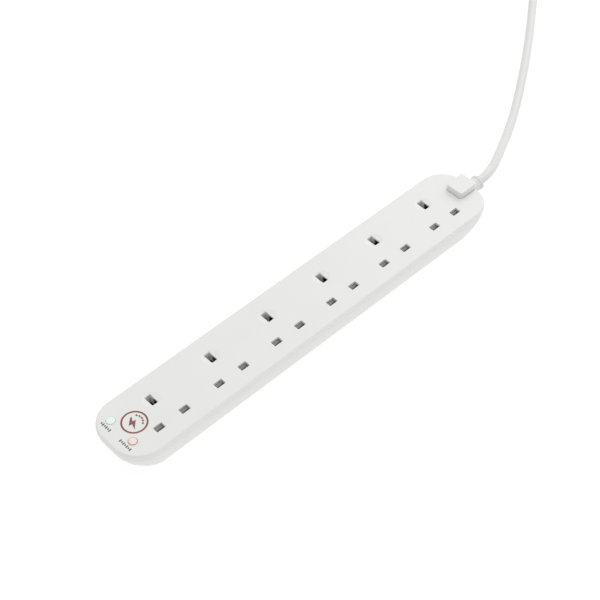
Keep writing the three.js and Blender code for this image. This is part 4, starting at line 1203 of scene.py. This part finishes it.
class BuildBoard(Build, bpy.types.Operator):
    """The surge board with its varistors, thermal fuse and resistors."""

    bl_idname = "lead.board"
    bl_label = "Surge board"

    def build(self, sizes):
        bend = np.linspace(-math.pi / 2, math.pi / 2, 17)
        puff = np.sign(np.sin(bend)) * np.abs(np.sin(bend)) ** 0.55
        disc = np.column_stack([5 * np.abs(np.cos(bend)) ** 0.4, 2 * puff])
        disc[[0, -1], 0] = 0
        for i, y in enumerate((-4, 1.5, 7), 1):
            middle = (-162.6, y, LEG_Z + 5.2)
            parts = [turned(disc, 40, middle, "Y")]
            for side in (-2.5, 2.5):
                x = middle[0] + side
                line = np.array([(x, y, LEG_Z), (x, y, LEG_Z + 0.8), (x, y, LEG_Z + 1.6)])
                parts.append(carried(line, circle(0.35, 8), (1, 0, 0)))
            piece(f"varistor_disc_{i}", cast(parts), "varistor_blue", (f"varistor_{i}",), 50)
        for name, slot, x, y, z, radius, length in (
            ("thermal_fuse", "fuse_metal", -155.6, -7.8, LEG_Z + 2.9, 1.7, 7.6),
            ("ballast_resistor_1", "resistor_tan", -156, 2.6, LEG_Z + 2.2, 1.2, 5.4),
            ("ballast_resistor_2", "resistor_tan", -156, 10.6, LEG_Z + 2.2, 1.2, 5.4),
        ):
            t = np.linspace(0, 1, 25)
            waist = 0.82 + 0.18 * np.abs(2 * t - 1) ** 3 if slot == "resistor_tan" else 1.0
            shape = radius * waist * np.minimum(1, np.sin(math.pi * t) * 5) ** 0.5
            shape[[0, -1]] = 0
            rings = np.column_stack([shape, (t - 0.5) * length])
            body = cast([turned(rings, 24, (x, y, z), "Y")], merge=False)
            lay_uv(body, len(t), 24, 1.0, 1.0)
            both = bpy.data.meshes.new("part")
            work = bmesh.new()
            work.from_mesh(body)
            work.from_mesh(cast([leads(x, y, z, length / 2 + 0.8, radius + 1)]))
            work.to_mesh(both)
            work.free()
            piece(f"{name}_body", both, slot, (name,), 50)
        dress(("surge_board",), "board_green")


class BuildShutters(Build, bpy.types.Operator):
    """Six shutters, each sliding with its own body."""

    bl_idname = "lead.shutters"
    bl_label = "Shutters"

    def build(self, sizes):
        master = shutter_mesh()
        for k, x in enumerate(SOCKETS, 1):
            mesh = cast([as_skin(master, (float(x), 0, 0))])
            body = f"shutter_{k}"
            piece(f"shutter_plate_{k}", mesh, "shutter_white", (body,), 30, body)


class DressMetalwork(Build, bpy.types.Operator):
    """Finishes for the busbars and wires, whose CAD shapes stay."""

    bl_idname = "lead.metalwork"
    bl_label = "Busbars and wires"

    def build(self, sizes):
        dress(("line_busbar", "neutral_busbar", "earth_busbar"), "brass")
        dress(("line_core", "board_line_wire"), "core_brown")
        dress(("neutral_core", "board_neutral_wire"), "core_blue")
        dress(("earth_core", "board_earth_wire"), "core_green")


class LeadPanel(bpy.types.Panel):
    """The lead's sizes, colours and building steps."""

    bl_idname = "VIEW3D_PT_extension_lead"
    bl_label = "Extension lead"
    bl_space_type = "VIEW_3D"
    bl_region_type = "UI"
    bl_category = "Extension lead"

    def draw(self, context):
        for group in (context.scene.lead_sizes, context.scene.lead_colours):
            for name in group.__annotations__:
                self.layout.prop(group, name)
        for step in STEPS:
            self.layout.operator(step.bl_idname)


STEPS = (
    BuildStage, BuildGrip, BuildPlug, BuildFlex, BuildCover, BuildBase, BuildLamps,
    BuildPrint, BuildScrews, BuildShutters, BuildSprings, BuildBoard, DressMetalwork,
)
CLASSES = (LeadSizes, LeadColours, *STEPS, LeadPanel)


def register():
    for item in CLASSES:
        bpy.utils.register_class(item)
    bpy.types.Scene.lead_sizes = bpy.props.PointerProperty(type=LeadSizes)
    bpy.types.Scene.lead_colours = bpy.props.PointerProperty(type=LeadColours)


def unregister():
    del bpy.types.Scene.lead_colours
    del bpy.types.Scene.lead_sizes
    for item in reversed(CLASSES):
        bpy.utils.unregister_class(item)


def main():
    register()
    for step in STEPS:
        getattr(bpy.ops.lead, step.bl_idname.split(".")[1])()
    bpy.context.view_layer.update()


if __name__ == "__main__":
    main()
